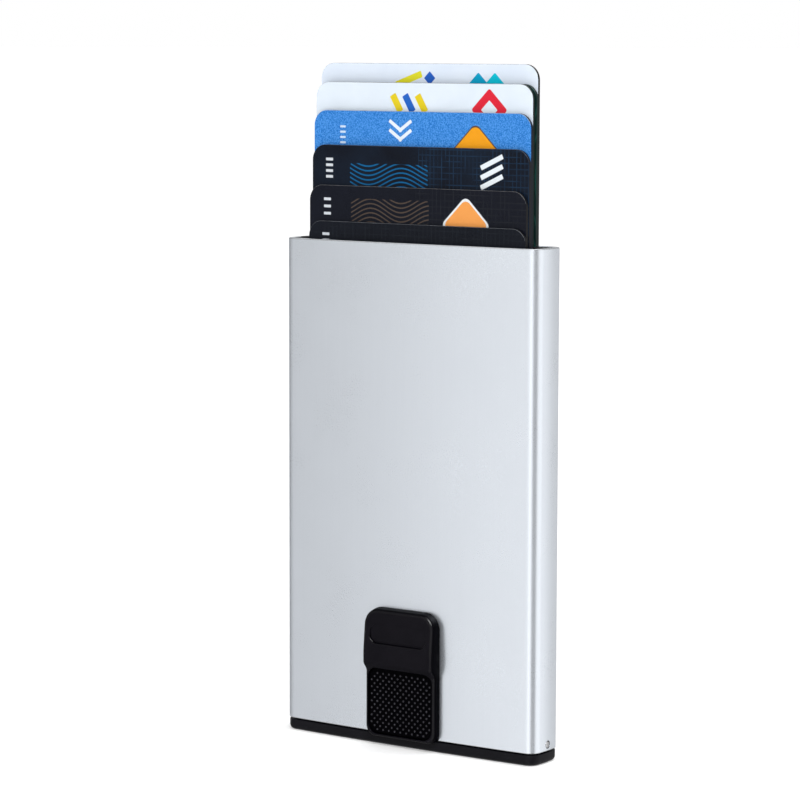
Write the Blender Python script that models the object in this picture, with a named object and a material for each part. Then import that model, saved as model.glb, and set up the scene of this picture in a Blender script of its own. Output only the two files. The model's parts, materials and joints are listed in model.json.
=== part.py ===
"""Aluminium card holder with a thumb slider and a stepped ejector lever.

An extruded aluminium tube stands on a black plastic base cap.  Seven cards
stand side by side in the tube.  Pushing the thumb slider up turns the lever
under the cards, and its steps lift them to seven heights, the rear card the
most.  +X is the right side, +Y the back, +Z up.  The origin is the middle of
the base.  The model shows the slider down and the cards left fanned out.
"""

from math import acos, atan2, ceil, cos, degrees, hypot, pi, radians, sin, sqrt

import bmesh
import bpy
from mathutils import Matrix
from mathutils.geometry import convex_hull_2d

MM = 0.001

# Clearances
SEAT_GAP = 0.3 * MM
RUNNING_GAP = 0.3 * MM
PIN_CLEARANCE = 0.15 * MM

# Cards
CARD_WIDTH = 53.98 * MM
CARD_HEIGHT = 85.6 * MM
CARD_THICKNESS = 0.76 * MM
CARD_CORNER = 3.18 * MM
CARD_GAP = 0.15 * MM
CARD_SIDE_PLAY = 0.7 * MM
CARD_FRONT_GAP = 0.44 * MM
CARD_BACK_ROOM = 1.24 * MM
CARD_COVER = 0.5 * MM
RISE_SHARES = (1.0, 0.893, 0.893, 0.735, 0.541, 0.315, 0.114)
OFFSET_SHARES = (-0.54, -0.11, -0.54, -0.28, 0.0, -0.11, 0.54)

# Case
FACE_CROWN = 0.6 * MM
SIDE_CROWN = 0.12 * MM
CORNER_RADIUS = 2.6 * MM
TUBE_WALL = 1.1 * MM
RIM_CHAMFER = 0.25 * MM

# Base cap
CAP_BAND = 2.3 * MM
CAP_INSET = 0.12 * MM
CAP_ROUNDING = 1.0 * MM
CAP_FLOOR = 1.4 * MM
SKIRT_DROP = 0.5 * MM
SKIRT_WALL = 0.8 * MM
SKIRT_LEAD_IN = 0.3 * MM
RETAINING_PIN_RADIUS = 0.7 * MM
RETAINING_PIN_LENGTH = 2.6 * MM
RETAINING_PIN_RISE = 1.35 * MM

# Thumb slider
SLIDER_TRAVEL = 17.5 * MM
SLIDER_WIDTH = 17.9 * MM
SLIDER_LAP = 0.4 * MM
SLIDER_HEIGHT = 27.1 * MM
SLIDER_TOP_CORNER = 3.0 * MM
SLIDER_FOOT_CORNER = 2.2 * MM
SLIDER_DRAFT = 0.25 * MM
SLIDER_EDGE = 0.45 * MM
SLIDER_BACK_GAP = 0.2 * MM
PAD_PROUD = 1.5 * MM
CREST_PROUD = 2.7 * MM
TOP_PROUD = 1.9 * MM
STEP_LENGTH = 1.7 * MM
CREST_LENGTH = 2.6 * MM
TOP_LENGTH = 8.7 * MM
SCOOP_SIDE = 2.15 * MM
SCOOP_RISE = 1.8 * MM
SCOOP_HEIGHT = 3.4 * MM
SCOOP_CORNER = 1.5 * MM
SCOOP_PROUD = 1.75 * MM

# Grip insert
GRIP_RIM = 1.05 * MM
GRIP_FOOT = 0.9 * MM
GRIP_STEP_GAP = 0.1 * MM
GRIP_TOP_CORNER = 3.2 * MM
GRIP_FOOT_CORNER = 1.5 * MM
GRIP_GAP = 0.2 * MM
GRIP_SINK = 0.25 * MM
GRIP_THICKNESS = 0.6 * MM
STUD_PITCH_X = 1.46 * MM
STUD_PITCH_Z = 1.49 * MM
STUD_RADIUS = 0.42 * MM
STUD_TIP_RADIUS = 0.18 * MM
STUD_HEIGHT = 0.22 * MM
STUD_ROOT = 0.1 * MM
STUD_MARGIN = 0.1 * MM

# Slider carriage
STEM_WIDTH = 4.4 * MM
STEM_HEIGHT = 5.0 * MM
STEM_RISE = 1.9 * MM
SLOT_CORNER = 1.2 * MM
CARRIAGE_INSET = 1.75 * MM
CARRIAGE_LIFT = 0.4 * MM
CARRIAGE_TOP_DROP = 3.0 * MM
CARRIAGE_THICKNESS = 0.85 * MM
CARRIAGE_CORNER = 1.5 * MM
CARRIAGE_WALL_GAP = 0.35 * MM
SCREW_RADIUS = 0.7 * MM
SCREW_HEAD_RADIUS = 1.4 * MM
SCREW_HEAD_HEIGHT = 0.5 * MM
SCREW_LENGTH = 2.6 * MM
DRIVE_PIN_RADIUS = 0.8 * MM
DRIVE_PIN_INSET = 2.0 * MM
DRIVE_PIN_RISE = 1.5 * MM

# Ejector lever
PIVOT_INSET = 5.3 * MM
PIVOT_Z = 13.4 * MM
PIVOT_PIN_RADIUS = 1.0 * MM
PIVOT_PIN_LENGTH = 7.0 * MM
HUB_RADIUS = 3.2 * MM
HUB_TOP_ANGLE = 110
EAR_RADIUS = 3.0 * MM
EAR_SIDE_GAP = 0.35 * MM
EAR_FRONT_WALL = 1.4 * MM
EAR_BACK_WALL = 1.1 * MM
EAR_RELIEF = 0.7 * MM
LEVER_TOP = 5.4 * MM
LEVER_TOP_START = 5.0 * MM
LEVER_END_GAP = 1.05 * MM
NOSE_RADIUS = 2.0 * MM
LOBE_WALL = 1.1 * MM
LOBE_ROOT_BEFORE = 8.0 * MM
LOBE_ROOT_BEYOND = 4.0 * MM
LOBE_CARD = 5
CAM_CLEARANCE = 0.25 * MM
REST_POST_X = 20.0 * MM
REST_POST_WIDTH = 3.0 * MM
REST_POST_DEPTH = 2.4 * MM

# Side guides
GUIDE_ROOM = 2.84 * MM
GUIDE_WEB = 0.8 * MM
GUIDE_RIB = 2.0 * MM
GUIDE_END_GAP = 0.35 * MM
GUIDE_FLANGE_LENGTH = 1.7 * MM
GUIDE_FLANGE_WALL = 0.7 * MM
GUIDE_RIB_DROP = 0.3 * MM
GUIDE_WEB_DROP = 1.2 * MM

# Felt strips
FELT_WIDTH = 10.0 * MM
FELT_HEIGHT = 22.0 * MM
FELT_CORNER = 1.0 * MM
FELT_INSET = 6.0 * MM
FELT_TOP_DROP = 5.0 * MM

# Facets
CORNER_STEPS = 6
CROWN_STEPS = 12
SIDE_STEPS = 4
CIRCLE_STEPS = 32
CAM_STEPS = 8
CAM_CIRCLE_STEPS = 24
LEAST_ROW_STEP = 0.02 * MM

# The case, sized round the cards
CARD_COUNT = len(RISE_SHARES)
CARD_PITCH = CARD_THICKNESS + CARD_GAP
STACK_DEPTH = CARD_COUNT * CARD_THICKNESS + (CARD_COUNT - 1) * CARD_GAP
CARD_FRONT_ROOM = CARRIAGE_WALL_GAP + CARRIAGE_THICKNESS + CARD_FRONT_GAP
CASE_WIDTH = CARD_WIDTH + 2 * (CARD_SIDE_PLAY + GUIDE_ROOM + TUBE_WALL)
CASE_DEPTH = CARD_FRONT_ROOM + STACK_DEPTH + CARD_BACK_ROOM + 2 * (TUBE_WALL - FACE_CROWN)
CARD_SEAT_Z = PIVOT_Z + LEVER_TOP + RUNNING_GAP
TUBE_FOOT_Z = CAP_BAND + SEAT_GAP
CASE_TOP_Z = CARD_SEAT_Z + CARD_HEIGHT + CARD_COVER
FRONT_Y = -CASE_DEPTH / 2 - FACE_CROWN
STACK_FRONT_Y = FRONT_Y + TUBE_WALL + CARD_FRONT_ROOM
STACK_BACK_Y = STACK_FRONT_Y + STACK_DEPTH
CARD_OFFSETS = [share * CARD_SIDE_PLAY for share in OFFSET_SHARES]

# The base cap
SKIRT_INSET = TUBE_WALL + SEAT_GAP
SKIRT_TOP_Z = PIVOT_Z - HUB_RADIUS - SKIRT_DROP
PIN_Z = TUBE_FOOT_Z + RETAINING_PIN_RISE
EAR_BACK_Y = CASE_DEPTH / 2 - TUBE_WALL - EAR_SIDE_GAP
EAR_FRONT_Y = -EAR_BACK_Y
HUB_FRONT_Y = EAR_FRONT_Y + EAR_FRONT_WALL + RUNNING_GAP
HUB_BACK_Y = EAR_BACK_Y - EAR_BACK_WALL - RUNNING_GAP

# The slider, its grip and its carriage
SLIDER_FOOT_Z = CAP_BAND - SLIDER_LAP
SLIDER_BACK_Y = FRONT_Y - SLIDER_BACK_GAP
CREST_END = SLIDER_HEIGHT - TOP_LENGTH
CREST_START = CREST_END - CREST_LENGTH
STEP_START = CREST_START - STEP_LENGTH
SCOOP_FOOT = CREST_END + SCOOP_RISE
SCOOP_WIDTH = SLIDER_WIDTH - 2 * SCOOP_SIDE
GRIP_WIDTH = SLIDER_WIDTH - 2 * GRIP_RIM
GRIP_HEIGHT = STEP_START - GRIP_FOOT - GRIP_STEP_GAP
STEM_FOOT_Z = TUBE_FOOT_Z + STEM_RISE
STEM_Z = STEM_FOOT_Z + STEM_HEIGHT / 2
CARRIAGE_WIDTH = SLIDER_WIDTH - 2 * CARRIAGE_INSET
CARRIAGE_FOOT_Z = CAP_BAND + CARRIAGE_LIFT
CARRIAGE_HEIGHT = SLIDER_FOOT_Z + SLIDER_HEIGHT - CARRIAGE_TOP_DROP - CARRIAGE_FOOT_Z
CARRIAGE_FRONT_Y = FRONT_Y + TUBE_WALL + CARRIAGE_WALL_GAP
CARRIAGE_BACK_Y = CARRIAGE_FRONT_Y + CARRIAGE_THICKNESS

# The lever, and the rise that it gives each card
PIVOT_X = -CASE_WIDTH / 2 + PIVOT_INSET
DRIVE_PIN_X = -CARRIAGE_WIDTH / 2 + DRIVE_PIN_INSET
DRIVE_PIN_FOOT_Z = CARRIAGE_FOOT_Z + DRIVE_PIN_RISE
DRIVE_ARM = DRIVE_PIN_X - PIVOT_X
DRIVE_DROP = DRIVE_PIN_FOOT_Z - PIVOT_Z
LEVER_SWING = atan2(DRIVE_DROP + SLIDER_TRAVEL, DRIVE_ARM) - atan2(DRIVE_DROP, DRIVE_ARM)
NOSE_RISE = LEVER_TOP - NOSE_RADIUS
NOSE_DIP = NOSE_RISE * (1 - cos(LEVER_SWING))
LEVER_REACH = CASE_WIDTH / 2 - TUBE_WALL - LEVER_END_GAP - NOSE_RADIUS - PIVOT_X
FULL_RISE = LEVER_REACH * sin(LEVER_SWING) - NOSE_DIP
CARD_RISES = [share * FULL_RISE for share in RISE_SHARES]

# The side guides and the felt strips
GUIDE_FACE_X = CARD_WIDTH / 2 + CARD_SIDE_PLAY
GUIDE_WALL_X = CASE_WIDTH / 2 - TUBE_WALL - SEAT_GAP
GUIDE_DEPTH = CASE_DEPTH - 2 * (TUBE_WALL + GUIDE_END_GAP)
FELT_X = CARD_WIDTH / 2 - FELT_INSET - FELT_WIDTH / 2


def clear_scene():
    """Remove whatever the scene holds."""
    for thing in list(bpy.data.objects):
        bpy.data.objects.remove(thing, do_unlink=True)


def material(name, colour, roughness, metallic=0.0):
    """A plain surface with one colour."""
    made = bpy.data.materials.new(name)
    made.use_nodes = True
    shader = made.node_tree.nodes["Principled BSDF"]
    shader.inputs["Base Color"].default_value = (*colour, 1.0)
    shader.inputs["Roughness"].default_value = roughness
    shader.inputs["Metallic"].default_value = metallic
    return made


def satin_aluminium():
    return material("satin_aluminium", (0.78, 0.79, 0.81), 0.38, 1.0)


def black_plastic(name):
    return material(name, (0.012, 0.012, 0.014), 0.42)


def grip_rubber():
    return material("grip_rubber", (0.006, 0.006, 0.007), 0.62)


def lever_plastic():
    return material("lever_plastic", (0.05, 0.05, 0.055), 0.45)


def pin_steel(name):
    return material(name, (0.6, 0.6, 0.6), 0.3, 1.0)


def black_felt(name):
    return material(name, (0.02, 0.02, 0.02), 0.95)


def card_plastic(name, colour):
    return material(name, colour, 0.35)


def arc(centre, radius, start, end, steps):
    """Points of an arc, in degrees, both ends included."""
    angles = [radians(start + (end - start) * step / steps) for step in range(steps + 1)]
    return [(centre[0] + radius * cos(a), centre[1] + radius * sin(a)) for a in angles]


def rounded_outline(centre, low, width, height, low_radius, high_radius=None):
    """A rectangle with rounded corners, standing on low, counter-clockwise."""
    top_radius = low_radius if high_radius is None else high_radius
    half = width / 2
    high = low + height
    outline = arc((centre - half + low_radius, low + low_radius), low_radius, 180, 270, CORNER_STEPS)
    outline += arc((centre + half - low_radius, low + low_radius), low_radius, 270, 360, CORNER_STEPS)
    outline += arc((centre + half - top_radius, high - top_radius), top_radius, 0, 90, CORNER_STEPS)
    outline += arc((centre - half + top_radius, high - top_radius), top_radius, 90, 180, CORNER_STEPS)
    return outline


def case_outline(inset):
    """The case's cross-section drawn in by inset: crowned faces and slightly crowned sides."""
    flat = CASE_WIDTH / 2 - CORNER_RADIUS
    corner_y = CASE_DEPTH / 2 - CORNER_RADIUS
    radius = CORNER_RADIUS - inset
    across = [flat * (2 * step / CROWN_STEPS - 1) for step in range(1, CROWN_STEPS)]
    bulge = [CASE_DEPTH / 2 - inset + FACE_CROWN * (1 - (x / flat) ** 2) for x in across]
    along = [corner_y * (2 * step / SIDE_STEPS - 1) for step in range(1, SIDE_STEPS)]
    swell = [CASE_WIDTH / 2 - inset + SIDE_CROWN * (1 - (y / corner_y) ** 2) for y in along]
    outline = arc((-flat, -corner_y), radius, 180, 270, CORNER_STEPS)
    outline += [(x, -y) for x, y in zip(across, bulge)]
    outline += arc((flat, -corner_y), radius, 270, 360, CORNER_STEPS)
    outline += list(zip(swell, along))
    outline += arc((flat, corner_y), radius, 0, 90, CORNER_STEPS)
    outline += [(-x, y) for x, y in zip(across, bulge)]
    outline += arc((-flat, corner_y), radius, 90, 180, CORNER_STEPS)
    outline += [(-x, -y) for x, y in zip(swell, along)]
    return outline


def wall_y(x):
    """How far the tube's inner wall lies from the middle plane at x."""
    flat = CASE_WIDTH / 2 - CORNER_RADIUS
    return CASE_DEPTH / 2 - TUBE_WALL + FACE_CROWN * (1 - (x / flat) ** 2)


def loft(rings, wrap=False):
    """Skin rings of equal point count, capped at both ends or closed on itself."""
    mesh = bmesh.new()
    loops = [[mesh.verts.new(point) for point in ring] for ring in rings]
    nexts = loops[1:] + ([loops[0]] if wrap else [])
    for low, high in zip(loops, nexts):
        for here in range(len(low)):
            there = (here + 1) % len(low)
            mesh.faces.new((low[here], low[there], high[there], high[here]))
    if not wrap:
        mesh.faces.new(loops[0])
        mesh.faces.new(loops[-1])
    bmesh.ops.recalc_face_normals(mesh, faces=mesh.faces)
    return mesh


def upright(outline, low, high):
    """A prism along Z from an outline in X and Y."""
    return loft([[(x, y, z) for x, y in outline] for z in (low, high)])


def crosswise(outline, front, back):
    """A prism along Y from an outline in X and Z."""
    return loft([[(x, y, z) for x, z in outline] for y in (front, back)])


def box(low, high):
    """A block between two opposite corners."""
    corners = [(low[0], low[1]), (high[0], low[1]), (high[0], high[1]), (low[0], high[1])]
    return upright(corners, low[2], high[2])


def circle(centre, radius):
    """Points of a whole circle."""
    return arc(centre, radius, 0, 360, CAM_CIRCLE_STEPS)[:-1]


def round_bar(axis, centre, radius, low, high):
    """A cylinder along X or Y, from low to high."""
    made = bmesh.new()
    turn = Matrix.Rotation(pi / 2, 4, "Y") if axis == "X" else Matrix.Rotation(-pi / 2, 4, "X")
    middle = (low + high) / 2
    place = (middle, *centre) if axis == "X" else (centre[0], middle, centre[1])
    bmesh.ops.create_cone(
        made,
        cap_ends=True,
        segments=CIRCLE_STEPS,
        radius1=radius,
        radius2=radius,
        depth=high - low,
        matrix=Matrix.Translation(place) @ turn,
    )
    return made


def to_object(name, mesh, surface=None, origin=(0.0, 0.0, 0.0), crease=40):
    """Make an object of the mesh, with its origin where its joint or seat is."""
    bmesh.ops.translate(mesh, verts=mesh.verts, vec=[-value for value in origin])
    data = bpy.data.meshes.new(name)
    mesh.to_mesh(data)
    mesh.free()
    data.shade_smooth()
    data.set_sharp_from_angle(angle=radians(crease))
    made = bpy.data.objects.new(name, data)
    made.location = origin
    bpy.context.scene.collection.objects.link(made)
    if surface:
        data.materials.append(surface)
    return made


def combine(target, mesh, operation):
    """Cut the mesh from the target, or join it on, with a Boolean modifier."""
    tool = to_object(f"{target.name}_{operation.lower()}_{len(target.modifiers)}", mesh)
    tool.hide_render = True
    tool.display_type = "WIRE"
    step = target.modifiers.new(tool.name, "BOOLEAN")
    step.operation = operation
    step.object = tool


def cut(target, mesh):
    combine(target, mesh, "DIFFERENCE")


def join(target, mesh):
    combine(target, mesh, "UNION")


def chamfer(target, width):
    """Break the sharp edges."""
    step = target.modifiers.new("chamfer", "BEVEL")
    step.width = width
    step.segments = 1
    step.limit_method = "ANGLE"
    step.angle_limit = radians(50)


def hull(points):
    """The outline of the smallest convex shape round the points."""
    return [points[index] for index in convex_hull_2d(points)]


def make_case_tube():
    """Extruded tube with broken rims, the slider's slot and two pin holes."""
    section = [
        (RIM_CHAMFER, TUBE_FOOT_Z),
        (0.0, TUBE_FOOT_Z + RIM_CHAMFER),
        (0.0, CASE_TOP_Z - RIM_CHAMFER),
        (RIM_CHAMFER, CASE_TOP_Z),
        (TUBE_WALL - RIM_CHAMFER, CASE_TOP_Z),
        (TUBE_WALL, CASE_TOP_Z - RIM_CHAMFER),
        (TUBE_WALL, TUBE_FOOT_Z + RIM_CHAMFER),
        (TUBE_WALL - RIM_CHAMFER, TUBE_FOOT_Z),
    ]
    rings = [[(x, y, z) for x, y in case_outline(inset)] for inset, z in section]
    tube = to_object("case_tube", loft(rings, wrap=True), satin_aluminium())
    slot_width = STEM_WIDTH + 2 * RUNNING_GAP
    slot_height = STEM_HEIGHT + SLIDER_TRAVEL + 2 * RUNNING_GAP
    slot = rounded_outline(0.0, STEM_FOOT_Z - RUNNING_GAP, slot_width, slot_height, SLOT_CORNER)
    cut(tube, crosswise(slot, FRONT_Y - TUBE_WALL, FRONT_Y + 2 * TUBE_WALL))
    hole_radius = RETAINING_PIN_RADIUS + PIN_CLEARANCE
    reach = CASE_WIDTH / 2 + TUBE_WALL
    cut(tube, round_bar("X", (0.0, PIN_Z), hole_radius, -reach, reach))


def lever_underside(arm):
    """Height of the resting lever's lower edge at a distance from the pivot."""
    slope = (NOSE_RISE - NOSE_RADIUS + HUB_RADIUS) / LEVER_REACH
    return PIVOT_Z - HUB_RADIUS + slope * arm


def ear_outline():
    """The pivot's ear: a round top on a leg that runs into the skirt's side wall."""
    wall_x = -CASE_WIDTH / 2 + SKIRT_INSET + SKIRT_WALL / 2
    outline = [(PIVOT_X + EAR_RADIUS, CAP_FLOOR / 2)]
    outline += arc((PIVOT_X, PIVOT_Z), EAR_RADIUS, 0, 180, 2 * CORNER_STEPS)
    shoulder_z = SKIRT_TOP_Z - SKIRT_LEAD_IN - SKIRT_WALL
    outline += [(PIVOT_X - EAR_RADIUS, shoulder_z), (wall_x, shoulder_z), (wall_x, CAP_FLOOR / 2)]
    return outline


def make_base_cap():
    """Moulded plug: a rounded band outside, a skirt inside, two pivot ears and a rest post."""
    section = []
    for step in range(5):
        angle = radians(90 * step / 4)
        inset = CAP_INSET + CAP_ROUNDING * (1 - sin(angle))
        section.append((inset, CAP_ROUNDING * (1 - cos(angle))))
    section += [
        (CAP_INSET, CAP_BAND),
        (SKIRT_INSET, CAP_BAND),
        (SKIRT_INSET, SKIRT_TOP_Z - SKIRT_LEAD_IN),
        (SKIRT_INSET + SKIRT_LEAD_IN, SKIRT_TOP_Z),
        (SKIRT_INSET + SKIRT_WALL, SKIRT_TOP_Z),
        (SKIRT_INSET + SKIRT_WALL, CAP_FLOOR),
    ]
    rings = [[(x, y, z) for x, y in case_outline(inset)] for inset, z in section]
    cap = to_object("base_cap", loft(rings), black_plastic("cap_plastic"))
    join(cap, crosswise(ear_outline(), EAR_FRONT_Y, HUB_FRONT_Y - RUNNING_GAP))
    join(cap, crosswise(ear_outline(), HUB_BACK_Y + RUNNING_GAP, EAR_BACK_Y))
    post_left = REST_POST_X - REST_POST_WIDTH / 2
    post_top = lever_underside(post_left - PIVOT_X) - RUNNING_GAP
    post_back = STACK_BACK_Y - CARD_THICKNESS
    low = (post_left, post_back - REST_POST_DEPTH, CAP_FLOOR / 2)
    join(cap, box(low, (post_left + REST_POST_WIDTH, post_back, post_top)))
    notch = CARRIAGE_WIDTH / 2 + 2 * RUNNING_GAP
    notch_front = CARRIAGE_FRONT_Y - RUNNING_GAP / 2
    notch_back = CARRIAGE_BACK_Y + SKIRT_WALL
    low = (-notch, notch_front, CAP_BAND - SEAT_GAP)
    cut(cap, box(low, (notch, notch_back, SKIRT_TOP_Z + TUBE_WALL)))
    reach = CASE_WIDTH / 2
    pin_hole = RETAINING_PIN_RADIUS + PIN_CLEARANCE
    cut(cap, round_bar("X", (0.0, PIN_Z), pin_hole, -reach, -reach + 2 * RETAINING_PIN_LENGTH))
    cut(cap, round_bar("X", (0.0, PIN_Z), pin_hole, reach - 2 * RETAINING_PIN_LENGTH, reach))
    pivot_hole = PIVOT_PIN_RADIUS + PIN_CLEARANCE
    cut(cap, round_bar("Y", (PIVOT_X, PIVOT_Z), pivot_hole, -CASE_DEPTH / 2, CASE_DEPTH / 2))


def make_retaining_pins():
    """A headless pin at each side holds the cap in the tube."""
    outside = CASE_WIDTH / 2 + SIDE_CROWN
    for name, side in (("left_retaining_pin", -1), ("right_retaining_pin", 1)):
        ends = sorted((side * outside, side * (outside - RETAINING_PIN_LENGTH)))
        bar = round_bar("X", (0.0, PIN_Z), RETAINING_PIN_RADIUS, *ends)
        pin = to_object(name, bar, pin_steel(f"{name}_steel"))
        chamfer(pin, RETAINING_PIN_RADIUS / 5)


def guide_outline(side):
    """An E section: a web facing the cards, two flanges and a middle rib on the tube's side."""
    face = GUIDE_FACE_X
    web = face + GUIDE_WEB
    tip = face + GUIDE_FLANGE_LENGTH
    half = GUIDE_DEPTH / 2
    rib = GUIDE_RIB / 2
    upper = [(GUIDE_WALL_X, rib), (web, rib), (web, half - GUIDE_FLANGE_WALL)]
    upper += [(tip, half - GUIDE_FLANGE_WALL), (tip, half), (face, half)]
    lower = [(x, -y) for x, y in reversed(upper)]
    return [(side * x, y) for x, y in lower + upper]


def make_side_guides():
    """Two moulded rails steer the cards' edges; only the middle rib reaches the mouth."""
    sweep_radius = hypot(LEVER_REACH, NOSE_RISE) + NOSE_RADIUS
    face_angle = acos((GUIDE_FACE_X - PIVOT_X - RUNNING_GAP) / sweep_radius)
    finger_top = PIVOT_Z + sweep_radius * sin(face_angle) + RUNNING_GAP
    finger_front = STACK_BACK_Y - CARD_THICKNESS - RUNNING_GAP
    feet = {-1: CARD_SEAT_Z, 1: SKIRT_TOP_Z + SEAT_GAP}
    for name, side in (("left_side_guide", -1), ("right_side_guide", 1)):
        foot = feet[side]
        top = CASE_TOP_Z - GUIDE_RIB_DROP
        rail = upright(guide_outline(side), foot, top)
        guide = to_object(name, rail, black_plastic(f"{name}_plastic"))
        inner, outer = sorted((side * (GUIDE_FACE_X - TUBE_WALL), side * (GUIDE_WALL_X + TUBE_WALL)))
        drop = CASE_TOP_Z - GUIDE_WEB_DROP
        for front, back in ((-CASE_DEPTH, -GUIDE_RIB / 2), (GUIDE_RIB / 2, CASE_DEPTH)):
            cut(guide, box((inner, front, drop), (outer, back, CASE_TOP_Z)))
        if side > 0:
            low = (inner, finger_front, foot - SEAT_GAP)
            cut(guide, box(low, (outer, CASE_DEPTH, finger_top)))


def make_felt_strips():
    """Four strips near the mouth press lightly on the outer cards."""
    top = CASE_TOP_Z - FELT_TOP_DROP
    nearest_wall = wall_y(FELT_X + FELT_WIDTH / 2) - RUNNING_GAP / 2
    layers = {
        "front": (-nearest_wall, STACK_FRONT_Y - RUNNING_GAP),
        "rear": (STACK_BACK_Y + RUNNING_GAP, nearest_wall),
    }
    for face, (front, back) in layers.items():
        for hand, x in (("left", -FELT_X), ("right", FELT_X)):
            outline = rounded_outline(x, top - FELT_HEIGHT, FELT_WIDTH, FELT_HEIGHT, FELT_CORNER)
            name = f"{face}_{hand}_felt"
            to_object(name, crosswise(outline, front, back), black_felt(f"{name}_wool"))


def slider_proud(height):
    """How far the slider stands out from the case at a height above its foot."""
    if height < STEP_START:
        return PAD_PROUD
    if height < CREST_START:
        share = (height - STEP_START) / (CREST_START - STEP_START)
        return PAD_PROUD + (CREST_PROUD - PAD_PROUD) * (1 - cos(pi * share)) / 2
    if height < CREST_END:
        return CREST_PROUD
    share = (height - CREST_END) / (SLIDER_HEIGHT - CREST_END)
    return CREST_PROUD + (TOP_PROUD - CREST_PROUD) * share


def slider_heights():
    """Heights of the slider's rows: close together where its outline or face bends."""
    turns = [radians(90 * step / CORNER_STEPS) for step in range(CORNER_STEPS + 1)]
    rows = {SLIDER_FOOT_CORNER * (1 - cos(turn)) for turn in turns}
    rows |= {SLIDER_HEIGHT - SLIDER_TOP_CORNER * (1 - cos(turn)) for turn in turns}
    rows |= {SLIDER_EDGE * (1 - cos(turn)) for turn in turns[::2]}
    rows |= {SLIDER_HEIGHT - SLIDER_EDGE * (1 - cos(turn)) for turn in turns[::2]}
    rows |= {STEP_START + (CREST_START - STEP_START) * step / 6 for step in range(7)}
    rows |= {CREST_END - SLIDER_EDGE, CREST_END, CREST_END + SLIDER_EDGE}
    kept = []
    for row in sorted(rows):
        if not kept or row - kept[-1] > LEAST_ROW_STEP:
            kept.append(row)
    return kept


def corner_setback(distance, radius):
    """How far a rounded corner draws a side in, at a distance from the end."""
    if distance >= radius:
        return 0.0
    return radius - sqrt(radius**2 - (radius - distance) ** 2)


def slider_row(height):
    """One row across the slider: up the left side, over the face and down the right."""
    below_top = SLIDER_HEIGHT - height
    half = SLIDER_WIDTH / 2
    half -= corner_setback(height, SLIDER_FOOT_CORNER) + corner_setback(below_top, SLIDER_TOP_CORNER)
    proud = slider_proud(height) + SLIDER_BACK_GAP
    proud -= corner_setback(height, SLIDER_EDGE) + corner_setback(below_top, SLIDER_EDGE)
    edge = arc((half - SLIDER_DRAFT - SLIDER_EDGE, proud - SLIDER_EDGE), SLIDER_EDGE, 0, 90, 3)
    right = [(half, SLIDER_BACK_GAP)] + edge
    left = [(-x, y) for x, y in reversed(right)]
    z = SLIDER_FOOT_Z + height
    return [(x, FRONT_Y - y, z) for x, y in right + left]


def make_thumb_slider():
    """The outer slider: a sculpted cover with a pad recess, a scoop and a stem through the slot."""
    rows = [slider_row(height) for height in slider_heights()]
    body = loft(rows)
    slider = to_object("thumb_slider", body, black_plastic("slider_plastic"), crease=30)
    stem = rounded_outline(0.0, STEM_FOOT_Z, STEM_WIDTH, STEM_HEIGHT, SLOT_CORNER)
    join(slider, crosswise(stem, SLIDER_BACK_Y - PAD_PROUD / 2, CARRIAGE_FRONT_Y - SEAT_GAP))
    floor_y = FRONT_Y - PAD_PROUD + GRIP_SINK + GRIP_THICKNESS + SEAT_GAP
    recess = grip_outline(GRIP_GAP)
    cut(slider, crosswise(recess, FRONT_Y - 2 * CREST_PROUD, floor_y))
    scoop_z = SLIDER_FOOT_Z + SCOOP_FOOT
    scoop = rounded_outline(0.0, scoop_z, SCOOP_WIDTH, SCOOP_HEIGHT, SCOOP_CORNER)
    cut(slider, crosswise(scoop, FRONT_Y - 2 * CREST_PROUD, FRONT_Y - SCOOP_PROUD))
    bore = SCREW_RADIUS + PIN_CLEARANCE
    bore_front = CARRIAGE_BACK_Y - SCREW_LENGTH - SEAT_GAP
    cut(slider, round_bar("Y", (0.0, STEM_Z), bore, bore_front, CARRIAGE_BACK_Y))


def grip_outline(margin):
    """The grip's outline, widened by margin: large corners above, small ones below."""
    low = SLIDER_FOOT_Z + GRIP_FOOT - margin
    width = GRIP_WIDTH + 2 * margin
    height = GRIP_HEIGHT + 2 * margin
    return rounded_outline(0.0, low, width, height, GRIP_FOOT_CORNER + margin, GRIP_TOP_CORNER + margin)


def inside_grip(x, height):
    """Whether a stud at this place stays clear of the grip's edge."""
    margin = STUD_RADIUS + STUD_MARGIN
    half = GRIP_WIDTH / 2 - margin
    if abs(x) > half or not margin < height < GRIP_HEIGHT - margin:
        return False
    radius = GRIP_TOP_CORNER if height > GRIP_HEIGHT / 2 else GRIP_FOOT_CORNER
    across = abs(x) - (GRIP_WIDTH / 2 - radius)
    along = max(radius - height, height - (GRIP_HEIGHT - radius))
    return across < 0 or along < 0 or hypot(across, along) < radius - margin


def stud_places():
    """Places of the studs: two square grids, the second shifted by half a pitch."""
    columns = ceil(GRIP_WIDTH / STUD_PITCH_X)
    rows = ceil(GRIP_HEIGHT / STUD_PITCH_Z)
    places = []
    for row in range(2 * rows):
        for column in range(-columns, columns + 1):
            x = STUD_PITCH_X * (column + 0.5 * (row % 2))
            height = STUD_PITCH_Z * (row + 1) / 2
            if inside_grip(x, height):
                places.append((x, height))
    return places


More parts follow.
